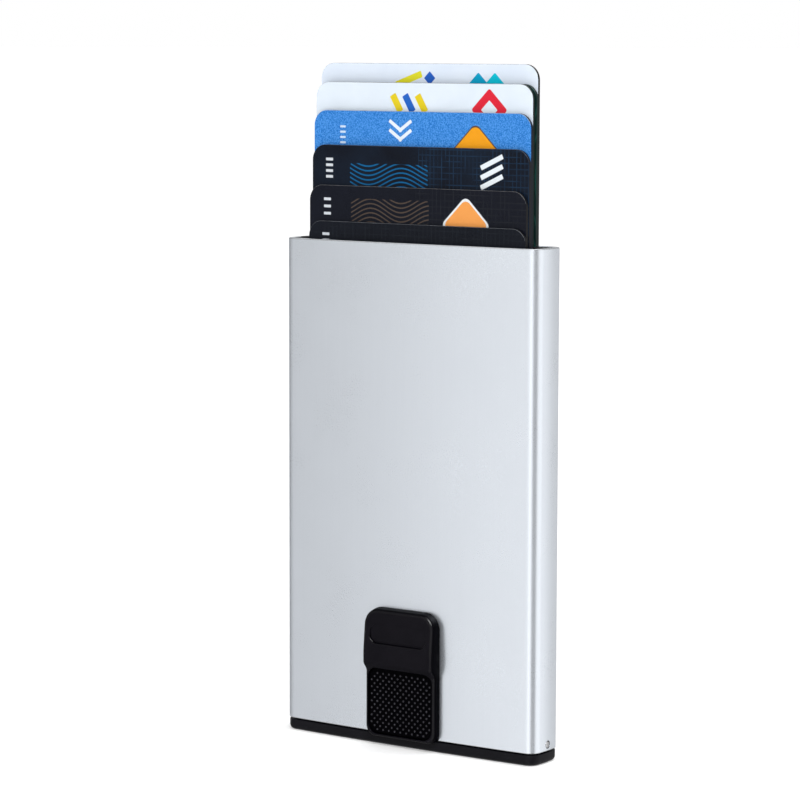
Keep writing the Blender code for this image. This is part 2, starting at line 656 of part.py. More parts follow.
def make_grip_insert():
    """Rubber pad with staggered square studs, set into the slider."""
    front = FRONT_Y - PAD_PROUD + GRIP_SINK
    plate = crosswise(grip_outline(0.0), front, front + GRIP_THICKNESS)
    grip = to_object("grip_insert", plate, grip_rubber())
    studs = bmesh.new()
    lean = Matrix.Rotation(pi / 2, 4, "X")
    for x, height in stud_places():
        middle = front + (STUD_ROOT - STUD_HEIGHT) / 2
        place = (x, middle, SLIDER_FOOT_Z + GRIP_FOOT + height)
        bmesh.ops.create_cone(
            studs,
            cap_ends=True,
            segments=4,
            radius1=STUD_RADIUS,
            radius2=STUD_TIP_RADIUS,
            depth=STUD_HEIGHT + STUD_ROOT,
            matrix=Matrix.Translation(place) @ lean,
        )
    join(grip, studs)


def make_slider_carriage():
    """Plate behind the front wall that clamps the slider and carries the drive pin."""
    outline = rounded_outline(
        0.0, CARRIAGE_FOOT_Z, CARRIAGE_WIDTH, CARRIAGE_HEIGHT, CARRIAGE_CORNER
    )
    plate = crosswise(outline, CARRIAGE_FRONT_Y, CARRIAGE_BACK_Y)
    carriage = to_object("slider_carriage", plate, black_plastic("carriage_plastic"))
    chamfer(carriage, CARRIAGE_THICKNESS / 5)
    beyond = CARRIAGE_BACK_Y + CARRIAGE_THICKNESS
    shank = SCREW_RADIUS + PIN_CLEARANCE
    before = CARRIAGE_FRONT_Y - CARRIAGE_THICKNESS
    cut(carriage, round_bar("Y", (0.0, STEM_Z), shank, before, beyond))
    seat = CARRIAGE_BACK_Y - SCREW_HEAD_HEIGHT - PIN_CLEARANCE
    cut(carriage, round_bar("Y", (0.0, STEM_Z), SCREW_HEAD_RADIUS + PIN_CLEARANCE, seat, beyond))
    hole = DRIVE_PIN_RADIUS + PIN_CLEARANCE
    seat = CARRIAGE_FRONT_Y + PIN_CLEARANCE
    cut(carriage, round_bar("Y", (DRIVE_PIN_X, DRIVE_PIN_FOOT_Z), hole, seat, beyond))


def make_carriage_screw():
    """Flat-headed screw from inside, through the carriage into the stem."""
    tip = CARRIAGE_BACK_Y - SCREW_LENGTH
    head = CARRIAGE_BACK_Y - SCREW_HEAD_HEIGHT
    bar = round_bar("Y", (0.0, STEM_Z), SCREW_RADIUS, tip, head + SCREW_HEAD_HEIGHT / 2)
    screw = to_object("carriage_screw", bar, pin_steel("screw_steel"))
    join(screw, round_bar("Y", (0.0, STEM_Z), SCREW_HEAD_RADIUS, head, CARRIAGE_BACK_Y))
    slot_half = SCREW_HEAD_RADIUS / 6
    floor_y = CARRIAGE_BACK_Y - SCREW_HEAD_HEIGHT / 2
    low = (-2 * SCREW_HEAD_RADIUS, floor_y, STEM_Z - slot_half)
    high = (2 * SCREW_HEAD_RADIUS, CARRIAGE_BACK_Y + SCREW_HEAD_HEIGHT, STEM_Z + slot_half)
    cut(screw, box(low, high))


def make_drive_pin():
    """Steel pin from the carriage, under the cards, into the lever's cam slot."""
    front = CARRIAGE_FRONT_Y + 2 * PIN_CLEARANCE
    back = HUB_BACK_Y - PIN_CLEARANCE
    bar = round_bar("Y", (DRIVE_PIN_X, DRIVE_PIN_FOOT_Z), DRIVE_PIN_RADIUS, front, back)
    chamfer(to_object("drive_pin", bar, pin_steel("drive_pin_steel")), DRIVE_PIN_RADIUS / 5)


def nose_reach(rise):
    """Distance from the pivot of the nose that lifts a card by this rise."""
    return (rise + NOSE_DIP) / sin(LEVER_SWING)


def cam_path():
    """The drive pin's path seen from the lever, which turns in step with the slider."""
    path = []
    for step in range(CAM_STEPS + 1):
        share = step / CAM_STEPS
        turn = share * LEVER_SWING
        x = DRIVE_ARM
        z = DRIVE_DROP + share * SLIDER_TRAVEL
        path.append((x * cos(turn) + z * sin(turn), z * cos(turn) - x * sin(turn)))
    return path


def around_path(radius):
    """Points on circles of this radius round each point of the cam path."""
    return [point for centre in cam_path() for point in circle(centre, radius)]


def from_pivot(points):
    return [(PIVOT_X + x, PIVOT_Z + z) for x, z in points]


def lever_outline():
    """The lever from the side: hub, level top, and a round nose under the rear card."""
    tip = (LEVER_REACH, NOSE_RISE)
    outline = arc((0.0, 0.0), HUB_RADIUS, HUB_TOP_ANGLE, 270, 2 * CORNER_STEPS)
    outline += arc(tip, NOSE_RADIUS, -90, 90, 2 * CORNER_STEPS)
    return from_pivot(outline + [(LEVER_TOP_START, LEVER_TOP)])


def step_cutter(rise):
    """What lies beyond a step's rounded nose."""
    reach = nose_reach(rise)
    far = 2 * CASE_WIDTH
    outline = [(reach, far)] + arc((reach, NOSE_RISE), NOSE_RADIUS, 90, 0, CORNER_STEPS)
    return from_pivot(outline + [(reach + NOSE_RADIUS, -far), (far, -far), (far, far)])


def make_ejector_lever():
    """The stepped lever: a nose for each card, a hub and a lobe with the cam slot."""
    planes = [STACK_BACK_Y - CARD_THICKNESS - row * CARD_PITCH for row in range(CARD_COUNT)]
    front = planes[-1] - CARD_GAP / 2
    origin = (PIVOT_X, 0.0, PIVOT_Z)
    blank = crosswise(lever_outline(), front, STACK_BACK_Y)
    lever = to_object("ejector_lever", blank, lever_plastic(), origin)
    for row in range(1, CARD_COUNT):
        if CARD_RISES[row] < CARD_RISES[row - 1]:
            step_back = planes[row - 1] - CARD_GAP / 2
            cut(lever, crosswise(step_cutter(CARD_RISES[row]), -CASE_DEPTH, step_back))
    root = [(DRIVE_ARM - LOBE_ROOT_BEFORE, 0.0), (DRIVE_ARM + LOBE_ROOT_BEYOND, 0.0)]
    lobe = hull(from_pivot(around_path(DRIVE_PIN_RADIUS + CAM_CLEARANCE + LOBE_WALL) + root))
    join(lever, crosswise(lobe, planes[LOBE_CARD - 1], HUB_BACK_Y))
    slot = hull(from_pivot(around_path(DRIVE_PIN_RADIUS + CAM_CLEARANCE)))
    cut(lever, crosswise(slot, -CASE_DEPTH, CASE_DEPTH))
    radius = EAR_RADIUS + EAR_RELIEF
    relief = arc((0.0, 0.0), radius, 0, 180, 2 * CORNER_STEPS)
    relief += [(-radius, -2 * radius), (radius, -2 * radius)]
    cut(lever, crosswise(from_pivot(relief), -CASE_DEPTH, HUB_FRONT_Y))
    cut(lever, crosswise(from_pivot(relief), HUB_BACK_Y, CASE_DEPTH))
    bore = PIVOT_PIN_RADIUS + PIN_CLEARANCE
    cut(lever, round_bar("Y", (PIVOT_X, PIVOT_Z), bore, -CASE_DEPTH, CASE_DEPTH))


def make_pivot_pin():
    """Steel pin through both ears and the lever's hub."""
    half = PIVOT_PIN_LENGTH / 2
    bar = round_bar("Y", (PIVOT_X, PIVOT_Z), PIVOT_PIN_RADIUS, -half, half)
    chamfer(to_object("pivot_pin", bar, pin_steel("pivot_pin_steel")), PIVOT_PIN_RADIUS / 5)


def make_cards():
    """Seven bank-size cards, the first at the back, each at the height its step gave it."""
    colours = [
        (0.80, 0.84, 0.90),
        (0.01, 0.03, 0.03),
        (0.80, 0.83, 0.88),
        (0.08, 0.24, 0.62),
        (0.012, 0.015, 0.035),
        (0.01, 0.01, 0.012),
        (0.008, 0.009, 0.015),
    ]
    for row, (rise, offset, colour) in enumerate(zip(CARD_RISES, CARD_OFFSETS, colours)):
        name = f"card_{row + 1}"
        back = STACK_BACK_Y - row * CARD_PITCH
        foot = CARD_SEAT_Z + rise
        outline = rounded_outline(offset, foot, CARD_WIDTH, CARD_HEIGHT, CARD_CORNER)
        plate = crosswise(outline, back - CARD_THICKNESS, back)
        origin = (offset, back - CARD_THICKNESS / 2, foot)
        to_object(name, plate, card_plastic(f"{name}_print", colour), origin)


clear_scene()
make_case_tube()
make_base_cap()
make_retaining_pins()
make_side_guides()
make_felt_strips()
make_thumb_slider()
make_grip_insert()
make_slider_carriage()
make_carriage_screw()
make_drive_pin()
make_ejector_lever()
make_pivot_pin()
make_cards()
print(f"lever swing {degrees(LEVER_SWING):.2f} degrees for a slider travel of {SLIDER_TRAVEL / MM:.1f} mm")
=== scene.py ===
import json
from math import cos, pi, radians, sin, sqrt

import bmesh
import bpy
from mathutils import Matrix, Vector


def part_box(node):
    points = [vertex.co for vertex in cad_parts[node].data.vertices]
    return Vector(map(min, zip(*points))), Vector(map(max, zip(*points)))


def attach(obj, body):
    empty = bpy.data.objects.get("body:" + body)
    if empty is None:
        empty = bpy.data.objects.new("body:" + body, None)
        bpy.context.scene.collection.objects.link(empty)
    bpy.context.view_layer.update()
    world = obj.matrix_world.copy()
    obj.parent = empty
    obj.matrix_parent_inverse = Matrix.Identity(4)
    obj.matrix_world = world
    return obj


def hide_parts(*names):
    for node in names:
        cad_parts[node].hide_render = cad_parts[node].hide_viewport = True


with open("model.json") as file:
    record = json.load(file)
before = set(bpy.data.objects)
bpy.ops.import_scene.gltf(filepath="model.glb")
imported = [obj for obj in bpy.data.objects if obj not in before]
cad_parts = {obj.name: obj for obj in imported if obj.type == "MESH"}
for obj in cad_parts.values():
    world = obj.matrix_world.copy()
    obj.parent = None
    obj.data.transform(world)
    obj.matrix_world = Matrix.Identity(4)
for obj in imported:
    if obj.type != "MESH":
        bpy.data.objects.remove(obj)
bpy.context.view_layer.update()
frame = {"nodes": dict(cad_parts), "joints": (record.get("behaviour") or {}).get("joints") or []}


# Base cap: the holder stands on a black plug, moulded in one piece of glass-filled nylon. Its
# rounded band shows under the tube, and a thin skirt, two ears for the lever's pin and a post
# under the resting lever go inside. The mould was spark-eroded, which leaves a satin grain.

MM = 0.001
CLOSE = 0.001 * MM
X, Y, Z = 0, 1, 2
CASE_LOW, CASE_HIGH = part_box("case_tube")
CAP_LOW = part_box("base_cap")[0]
FACE_CROWN = 0.6 * MM
SIDE_CROWN = 0.12 * MM
CROWN_STRIPS = 24
SIDE_STRIPS = 8
CORNER_RADIUS = 2.6 * MM
CORNER_SEGMENTS = 14
TUBE_WALL = 1.1 * MM
BAND_TOP_Z = 2.3 * MM
BAND_INSET = 0.12 * MM
BAND_ROUNDING = 1.0 * MM
BAND_TOP_EDGE = 0.15 * MM
SKIRT_INSET = TUBE_WALL + 0.3 * MM
SKIRT_WALL = 0.8 * MM
SKIRT_TOP_Z = 9.7 * MM
CAP_FLOOR_Z = 1.4 * MM
PIVOT = Vector(frame["joints"][1]["pos_m"])
PIVOT_HOLE_RADIUS = 1.15 * MM
EAR_RADIUS = 3.0 * MM
EAR_ROUNDING = 0.999 * EAR_RADIUS
FRONT_EAR_Y = (-3.6 * MM, -2.2 * MM)
REAR_EAR_Y = (2.5 * MM, 3.6 * MM)
POST_LOW = (18.5 * MM, 0.15 * MM, CAP_FLOOR_Z / 2)
POST_HIGH = (21.5 * MM, 2.55 * MM, 11.9 * MM)
BAY_LOW = (-7.8 * MM, -4.35 * MM, 2.0 * MM)
BAY_HIGH = (7.8 * MM, -2.55 * MM, 12 * MM)
PIN_Z = 3.95 * MM
PIN_HOLE_RADIUS = 0.85 * MM
PAST_SIDES_X = 40 * MM
PAST_EARS_Y = 6 * MM
MOULD_GRAIN = 0.11 * MM
MOULD_CLOUDS = 6 * MM
MOULD_GLOSS_SPREAD = 0.07
SHARP_ANGLE = 60
SMOOTH_ANGLE = 32


def only(piece):
    """Select this piece alone and make it the active one."""
    bpy.ops.object.select_all(action="DESELECT")
    piece.select_set(True)
    bpy.context.view_layer.objects.active = piece


def start_editing(piece):
    """Open the piece for editing with nothing selected."""
    only(piece)
    bpy.ops.object.mode_set(mode="EDIT")
    bpy.ops.mesh.select_all(action="DESELECT")


def choose(piece, kind, wanted):
    """Select the vertices, edges or faces that answer to wanted, and say how many there are."""
    bpy.ops.mesh.select_mode(type=kind)
    bpy.ops.mesh.select_all(action="DESELECT")
    mesh = bmesh.from_edit_mesh(piece.data)
    elements = {"VERT": mesh.verts, "EDGE": mesh.edges, "FACE": mesh.faces}[kind]
    chosen = [element for element in elements if wanted(element)]
    for element in chosen:
        element.select_set(True)
    bmesh.update_edit_mesh(piece.data)
    return len(chosen)


def step(axis, length):
    """A step of this length along X, Y or Z."""
    return [length if here == axis else 0.0 for here in (X, Y, Z)]


def cut_across(axis, places):
    """Cut all of the piece that is being edited square to X, Y or Z, at each place."""
    for place in places:
        bpy.ops.mesh.select_all(action="SELECT")
        bpy.ops.mesh.bisect(plane_co=step(axis, place), plane_no=step(axis, 1.0))


def stop_editing():
    bpy.ops.object.mode_set(mode="OBJECT")


def keep_place(name):
    """Name the new primitive and put its place, turn and size into its mesh."""
    bpy.ops.object.transform_apply(location=True, rotation=True, scale=True)
    bpy.context.object.name = name
    return bpy.context.object


def add_block(name, low, high):
    """A block between two opposite corners."""
    bpy.ops.object.select_all(action="DESELECT")
    low, high = Vector(low), Vector(high)
    bpy.ops.mesh.primitive_cube_add(size=1, location=(low + high) / 2, scale=high - low)
    return keep_place(name)


def add_bar(name, start, end, radius, sides=48):
    """A round bar from start to end, along X or Y."""
    bpy.ops.object.select_all(action="DESELECT")
    start, end = Vector(start), Vector(end)
    bpy.ops.mesh.primitive_cylinder_add(
        vertices=sides,
        radius=radius,
        depth=(end - start).length,
        location=(start + end) / 2,
        rotation=(0, pi / 2, 0) if end.x > start.x else (-pi / 2, 0, 0),
    )
    return keep_place(name)


def use_modifier(piece, kind, **settings):
    """Put a modifier on the piece and apply it."""
    modifier = piece.modifiers.new(kind.lower(), kind)
    for setting, value in settings.items():
        setattr(modifier, setting, value)
    only(piece)
    bpy.ops.object.modifier_apply(modifier=modifier.name)


def unite(piece, other, operation="UNION"):
    """Join another shape to the piece, or cut it away, and clear the other shape."""
    use_modifier(piece, "BOOLEAN", operation=operation, object=other, solver="EXACT")
    bpy.data.objects.remove(other)


def carve(piece, cutter):
    unite(piece, cutter, "DIFFERENCE")


def round_edges(piece, width, segments, wanted, clamped=True):
    """Round the edges that answer to wanted."""
    start_editing(piece)
    if choose(piece, "EDGE", wanted):
        bpy.ops.mesh.bevel(
            offset=width, segments=segments, affect="EDGES", clamp_overlap=clamped
        )
    stop_editing()


def along(edge, axis):
    """Whether an edge runs along X, Y or Z."""
    run = (edge.verts[1].co - edge.verts[0].co).normalized()
    return abs(run[axis]) > 0.999


def level(edge, z):
    """Whether an edge lies level at a height."""
    return all(abs(vert.co.z - z) < CLOSE for vert in edge.verts)


def sharp(edge, angle=SHARP_ANGLE):
    """Whether the faces at an edge meet at more than an angle."""
    return len(edge.link_faces) == 2 and edge.calc_face_angle() > radians(angle)


def case_block(name, inset, low_z, high_z):
    """A block with the case's section drawn in by inset: round corners and four crowned sides."""
    half_x = CASE_HIGH.x - SIDE_CROWN - inset
    half_y = CASE_HIGH.y - FACE_CROWN - inset
    block = add_block(name, (-half_x, -half_y, low_z), (half_x, half_y, high_z))
    round_edges(block, CORNER_RADIUS - inset, CORNER_SEGMENTS, lambda edge: along(edge, Z))
    start_editing(block)
    for axis, half, crowned, wall, crown, strips in (
        (X, half_x, Y, half_y, FACE_CROWN, CROWN_STRIPS),
        (Y, half_y, X, half_x, SIDE_CROWN, SIDE_STRIPS),
    ):
        flat = half + inset - CORNER_RADIUS
        places = [flat * (2 * strip / strips - 1) for strip in range(1, strips)]
        cut_across(axis, places)
        for place in places:
            rise = crown * (1 - (place / flat) ** 2)
            for side in (-1, 1):
                choose(
                    block,
                    "VERT",
                    lambda vert: abs(vert.co[axis] - place) < CLOSE
                    and side * vert.co[crowned] > wall - CLOSE,
                )
                bpy.ops.transform.translate(value=step(crowned, side * rise))
    stop_editing()
    return block


def drill_pin_holes(piece):
    """Drill through from side to side, for the two retaining pins."""
    ends = [(side * PAST_SIDES_X, 0, PIN_Z) for side in (-1, 1)]
    carve(piece, add_bar("pin_holes", *ends, PIN_HOLE_RADIUS))


def finish_shape(piece, angle=SMOOTH_ANGLE):
    """Shade the piece smooth up to an angle, with its large faces kept flat."""
    only(piece)
    bpy.ops.object.shade_smooth_by_angle(angle=radians(angle))
    use_modifier(piece, "WEIGHTED_NORMAL", keep_sharp=True)


def add_node(tree, kind, inputs, **settings):
    """A shader node with its settings, and its inputs set or linked."""
    node = tree.nodes.new(kind)
    for setting, value in settings.items():
        setattr(node, setting, value)
    for socket, value in inputs.items():
        if isinstance(value, bpy.types.NodeSocket):
            tree.links.new(value, node.inputs[socket])
        else:
            node.inputs[socket].default_value = value
    return node


def new_surface(name, constants):
    """A surface with constants on its shader's own sockets. Returns it, its tree and its shader."""
    surface = bpy.data.materials.new(name)
    surface.use_nodes = True
    tree = surface.node_tree
    shader = tree.nodes["Principled BSDF"]
    for socket, value in constants.items():
        shader.inputs[socket].default_value = value
    return surface, tree, shader


def object_place(tree):
    return tree.nodes.new("ShaderNodeTexCoord").outputs["Object"]


def grain(tree, size, detail=2.0, stretch=(1, 1, 1)):
    """A noise whose spots are about this size, drawn out along some axes."""
    scale = [1 / (size * share) for share in stretch]
    scaled = add_node(tree, "ShaderNodeMapping", {"Vector": object_place(tree), "Scale": scale})
    noise_inputs = {"Vector": scaled.outputs[0], "Scale": 1.0, "Detail": detail}
    return add_node(tree, "ShaderNodeTexNoise", noise_inputs).outputs[0]


def spread(tree, value, from_low, from_high, low=0.0, high=1.0):
    """Lead a range of values over to another one."""
    ends = {"From Min": from_low, "From Max": from_high, "To Min": low, "To Max": high}
    return add_node(tree, "ShaderNodeMapRange", {"Value": value, **ends}).outputs[0]


def vary(tree, noise, low, high):
    """Lead a noise, most of which lies between 0.3 and 0.7, over to a range of values."""
    return spread(tree, noise, 0.3, 0.7, low, high)


def blend(tree, share, first, second):
    """A mix of two colours."""
    node = add_node(tree, "ShaderNodeMix", {}, data_type="RGBA")
    for socket, value in ((0, share), (6, first), (7, second)):
        if isinstance(value, bpy.types.NodeSocket):
            tree.links.new(value, node.inputs[socket])
        else:
            node.inputs[socket].default_value = (*value, 1.0)
    return node.outputs[2]


def coat(tree, shader, colour, rough):
    """Lead a colour and a roughness to the shader."""
    tree.links.new(colour, shader.inputs["Base Color"])
    tree.links.new(rough, shader.inputs["Roughness"])


def emboss(tree, shader, height, depth, strength):
    """Let a pattern raise the surface."""
    bump_inputs = {"Height": height, "Distance": depth, "Strength": strength}
    bump = add_node(tree, "ShaderNodeBump", bump_inputs)
    tree.links.new(bump.outputs[0], shader.inputs["Normal"])


def moulded_plastic(name, dark, light, rough, grain_size=MOULD_GRAIN, specular=0.13):
    """Satin moulding: eroded grain, and a faint cloudiness from handling."""
    surface, tree, shader = new_surface(name, {"Specular IOR Level": specular})
    clouds = vary(tree, grain(tree, MOULD_CLOUDS, detail=3.0), 0.0, 1.0)
    fine = grain(tree, grain_size)
    colour = blend(tree, clouds, dark, light)
    least, most = rough - MOULD_GLOSS_SPREAD, rough + MOULD_GLOSS_SPREAD
    coat(tree, shader, colour, vary(tree, fine, least, most))
    emboss(tree, shader, fine, depth=0.006 * MM, strength=0.6)
    return surface


def dress(piece, surfaces, body, node):
    """Give the piece its surfaces, its body and the node that it stands for."""
    piece.data.materials.clear()
    for surface in surfaces:
        piece.data.materials.append(surface)
    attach(piece, body)
    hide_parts(node)


cap = case_block("cap_plug", BAND_INSET, CAP_LOW.z, BAND_TOP_Z)
round_edges(cap, BAND_ROUNDING, 8, lambda edge: level(edge, CAP_LOW.z) and sharp(edge))
round_edges(cap, BAND_TOP_EDGE, 2, lambda edge: level(edge, BAND_TOP_Z) and sharp(edge))
unite(cap, case_block("skirt", SKIRT_INSET, CAP_FLOOR_Z, SKIRT_TOP_Z))
carve(cap, case_block("inside", SKIRT_INSET + SKIRT_WALL, CAP_FLOOR_Z, 2 * SKIRT_TOP_Z))
ear_top = PIVOT.z + EAR_RADIUS
for front_y, back_y in (FRONT_EAR_Y, REAR_EAR_Y):
    ear = add_block(
        "ear",
        (PIVOT.x - EAR_RADIUS, front_y, CAP_FLOOR_Z / 2),
        (PIVOT.x + EAR_RADIUS, back_y, ear_top),
    )
    round_edges(ear, EAR_ROUNDING, 12, lambda edge: along(edge, Y) and level(edge, ear_top))
    unite(cap, ear)
unite(cap, add_block("rest_post", POST_LOW, POST_HIGH))
carve(cap, add_block("carriage_bay", BAY_LOW, BAY_HIGH))
drill_pin_holes(cap)
pivot_ends = [(PIVOT.x, side * PAST_EARS_Y, PIVOT.z) for side in (-1, 1)]
carve(cap, add_bar("pivot_hole", *pivot_ends, PIVOT_HOLE_RADIUS))
finish_shape(cap)
cap_nylon = moulded_plastic(
    "cap_nylon", (0.0034, 0.0032, 0.0054), (0.0054, 0.0051, 0.0078), rough=0.42
)
dress(cap, [cap_nylon], "case", "base_cap")


# Lever and its pin: the stepped lever under the cards is moulded in dark grey acetal, a slippery
# plastic with a waxy sheen. It turns on a plain steel pin that is pressed through the cap's ears.

LEVER_EDGE = 0.12 * MM
LEVER_GRAIN = 0.2 * MM
STEEL_EDGE = 0.1 * MM
STEEL_RINGS = 0.05 * MM
FACET_ANGLE = 1
HARD_ANGLE = 40


def refine(node, name, edge_width):
    """A copy of a plain solid with its facets merged and its hard edges rounded."""
    piece = bpy.data.objects.new(name, frame["nodes"][node].data.copy())
    bpy.context.scene.collection.objects.link(piece)
    start_editing(piece)
    bpy.ops.mesh.select_all(action="SELECT")
    bpy.ops.mesh.remove_doubles(threshold=CLOSE)
    bpy.ops.mesh.dissolve_limited(angle_limit=radians(FACET_ANGLE))
    stop_editing()
    use_modifier(
        piece,
        "BEVEL",
        width=edge_width,
        segments=2,
        limit_method="ANGLE",
        angle_limit=radians(HARD_ANGLE),
    )
    finish_shape(piece)
    return piece


def turned_steel(name):
    """Bright pin steel with the fine rings that turning leaves."""
    surface, tree, shader = new_surface(name, {"Metallic": 1.0, "Specular IOR Level": 0.5})
    rings = grain(tree, STEEL_RINGS, stretch=(1, 6, 1))
    colour = blend(tree, rings, (0.50, 0.50, 0.51), (0.66, 0.66, 0.67))
    coat(tree, shader, colour, vary(tree, rings, 0.2, 0.36))
    emboss(tree, shader, rings, depth=0.003 * MM, strength=0.5)
    return surface


lever = refine("ejector_lever", "stepped_lever", LEVER_EDGE)
acetal = moulded_plastic(
    "lever_acetal",
    (0.045, 0.046, 0.050),
    (0.058, 0.059, 0.064),
    rough=0.38,
    grain_size=LEVER_GRAIN,
)
dress(lever, [acetal], "lever", "ejector_lever")
steel = turned_steel("pin_steel")
axle = refine("pivot_pin", "lever_axle", STEEL_EDGE)
dress(axle, [steel], "case", "pivot_pin")


# Tube: the case is a length of aluminium extrusion with crowned faces, sawn and milled at both
# ends. It was blasted to an even satin and anodised clear. The milled rims are broken with a
# small bright chamfer.

RIM_CHAMFER = 0.25 * MM
SLOT_LOW = Vector((-2.5, -7.0, 4.2)) * MM
SLOT_HIGH = Vector((2.5, -3.0, 27.3)) * MM
SLOT_CORNER = 1.2 * MM
AROUND_SLOT = 0.5 * MM
DEBURR = 0.09 * MM
RIM_DEPTH = 1.01 * RIM_CHAMFER
BLAST_GRAIN = 0.14 * MM
DRAW_LINES = 0.35 * MM
TONE_CLOUDS = 14 * MM
TOOL_MARKS = 0.06 * MM


def maths(tree, operation, first, second=0.0):
    node = add_node(tree, "ShaderNodeMath", {0: first, 1: second}, operation=operation)
    return node.outputs[0]


def blasted_aluminium(name):
    """Blasted and anodised: a fine sparkle, faint draw lines along Z, and slow changes of tone."""
    surface, tree, shader = new_surface(name, {"Metallic": 0.88, "Specular IOR Level": 0.5})
    blast = grain(tree, BLAST_GRAIN, detail=3.0)
    lines = vary(tree, grain(tree, DRAW_LINES, stretch=(1, 1, 90)), 0.3, 0.7)
    clouds = vary(tree, grain(tree, TONE_CLOUDS), -0.02, 0.02)
    tone = blend(tree, lines, (0.842, 0.888, 0.950), (0.868, 0.915, 0.978))
    tone = blend(tree, vary(tree, blast, 0.0, 0.30), tone, (0.790, 0.834, 0.892))
    coat(tree, shader, tone, maths(tree, "ADD", vary(tree, blast, 0.27, 0.34), clouds))
    emboss(tree, shader, blast, depth=0.004 * MM, strength=0.5)
    return surface


def milled_aluminium(name):
    """The rims' cut: fine tool marks, anodised with the rest."""
    surface, tree, shader = new_surface(name, {"Metallic": 1.0, "Specular IOR Level": 0.5})
    marks = grain(tree, TOOL_MARKS, stretch=(1, 8, 1))
    tone = blend(tree, marks, (0.72, 0.75, 0.79), (0.83, 0.86, 0.90))
    coat(tree, shader, tone, vary(tree, marks, 0.22, 0.34))
    return surface


def at_slot(edge):
    """Whether an edge belongs to the slot in the front wall."""
    return all(
        vert.co.y < 0
        and abs(vert.co.x) < SLOT_HIGH.x + AROUND_SLOT
        and SLOT_LOW.z - AROUND_SLOT < vert.co.z < SLOT_HIGH.z + AROUND_SLOT
        for vert in edge.verts
    )


tube = case_block("case_extrusion", 0.0, CASE_LOW.z, CASE_HIGH.z)
start_editing(tube)
choose(tube, "FACE", lambda face: abs(face.normal.z) > 0.9)
bpy.ops.mesh.delete(type="ONLY_FACE")
stop_editing()
use_modifier(tube, "SOLIDIFY", thickness=TUBE_WALL, offset=-1, use_even_offset=True)
for rim_z in (CASE_LOW.z, CASE_HIGH.z):
    round_edges(tube, RIM_CHAMFER, 3, lambda edge: level(edge, rim_z) and sharp(edge))
slot = add_block("slot", SLOT_LOW, SLOT_HIGH)
round_edges(slot, SLOT_CORNER, 8, lambda edge: along(edge, Y))
carve(tube, slot)
drill_pin_holes(tube)
round_edges(tube, DEBURR, 2, lambda edge: sharp(edge) and at_slot(edge))
finish_shape(tube, angle=26)
aluminium = [blasted_aluminium("blasted_aluminium"), milled_aluminium("milled_aluminium")]
dress(tube, aluminium, "case", "case_tube")
for face in tube.data.polygons:
    if min(face.center.z - CASE_LOW.z, CASE_HIGH.z - face.center.z) < RIM_DEPTH:
        face.material_index = 1


# Retaining pins: a short steel pin at each side goes through the tube into the cap and keeps it
# from coming out. Its outer end is domed a little and sits level with the tube.

PIN_END_ROUNDING = 0.16 * MM

for hand in ("left", "right"):
    low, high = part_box(f"{hand}_retaining_pin")
    pin_ends = ((low.x, 0, PIN_Z), (high.x, 0, PIN_Z))
    pin = add_bar(f"{hand}_cap_pin", *pin_ends, (high.z - low.z) / 2, sides=40)
    round_edges(pin, PIN_END_ROUNDING, 4, sharp)
    finish_shape(pin, angle=40)
    dress(pin, [steel], "case", f"{hand}_retaining_pin")


# Side guides: two black moulded rails line the tube's sides and steer the cards' edges. Only the
# narrow middle rib of each reaches the mouth. They are a push fit, with small radii all over.

GUIDE_EDGE = 0.1 * MM
TIP_RISE = 0.4 * MM

guide_nylon = moulded_plastic(
    "guide_nylon", (0.007, 0.007, 0.009), (0.012, 0.012, 0.014), rough=0.45
)
for hand in ("left", "right"):
    guide = refine(f"{hand}_side_guide", f"{hand}_card_rail", GUIDE_EDGE)
    tip_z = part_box(f"{hand}_side_guide")[1].z - 2 * GUIDE_EDGE
    start_editing(guide)
    choose(guide, "VERT", lambda vert: vert.co.z > tip_z)
    bpy.ops.transform.translate(value=(0, 0, TIP_RISE))
    stop_editing()
    dress(guide, [guide_nylon], "case", f"{hand}_side_guide")


# Felt strips: four strips of black wool felt are glued inside the mouth, two before and two
# behind the cards. They press lightly on the outer cards, so that the fan stays up. Their faces
# are matted fibre.

FELT_CELLS_UP = 60
FELT_CELLS_ACROSS = 30
FELT_FUZZ = 0.05 * MM
FELT_CORNER = 1.0 * MM
FIBRE = 0.12 * MM


def wool_felt(name):
    """Matted wool: fibres crossing at all angles, dull, with a soft light edge."""
    surface, tree, shader = new_surface(
        name,
        {
            "Specular IOR Level": 0.1,
            "Sheen Weight": 0.25,
            "Sheen Roughness": 0.6,
            "Roughness": 0.95,
        },
    )
    along_fibres = grain(tree, FIBRE, detail=4.0, stretch=(4, 1, 1))
    across_fibres = grain(tree, FIBRE, detail=4.0, stretch=(1, 1, 4))
    matted = maths(tree, "MULTIPLY", along_fibres, across_fibres)
    share = spread(tree, matted, 0.12, 0.4)
    colour = blend(tree, share, (0.008, 0.008, 0.009), (0.045, 0.045, 0.048))
    tree.links.new(colour, shader.inputs["Base Color"])
    emboss(tree, shader, matted, depth=0.06 * MM, strength=0.9)
    return surface


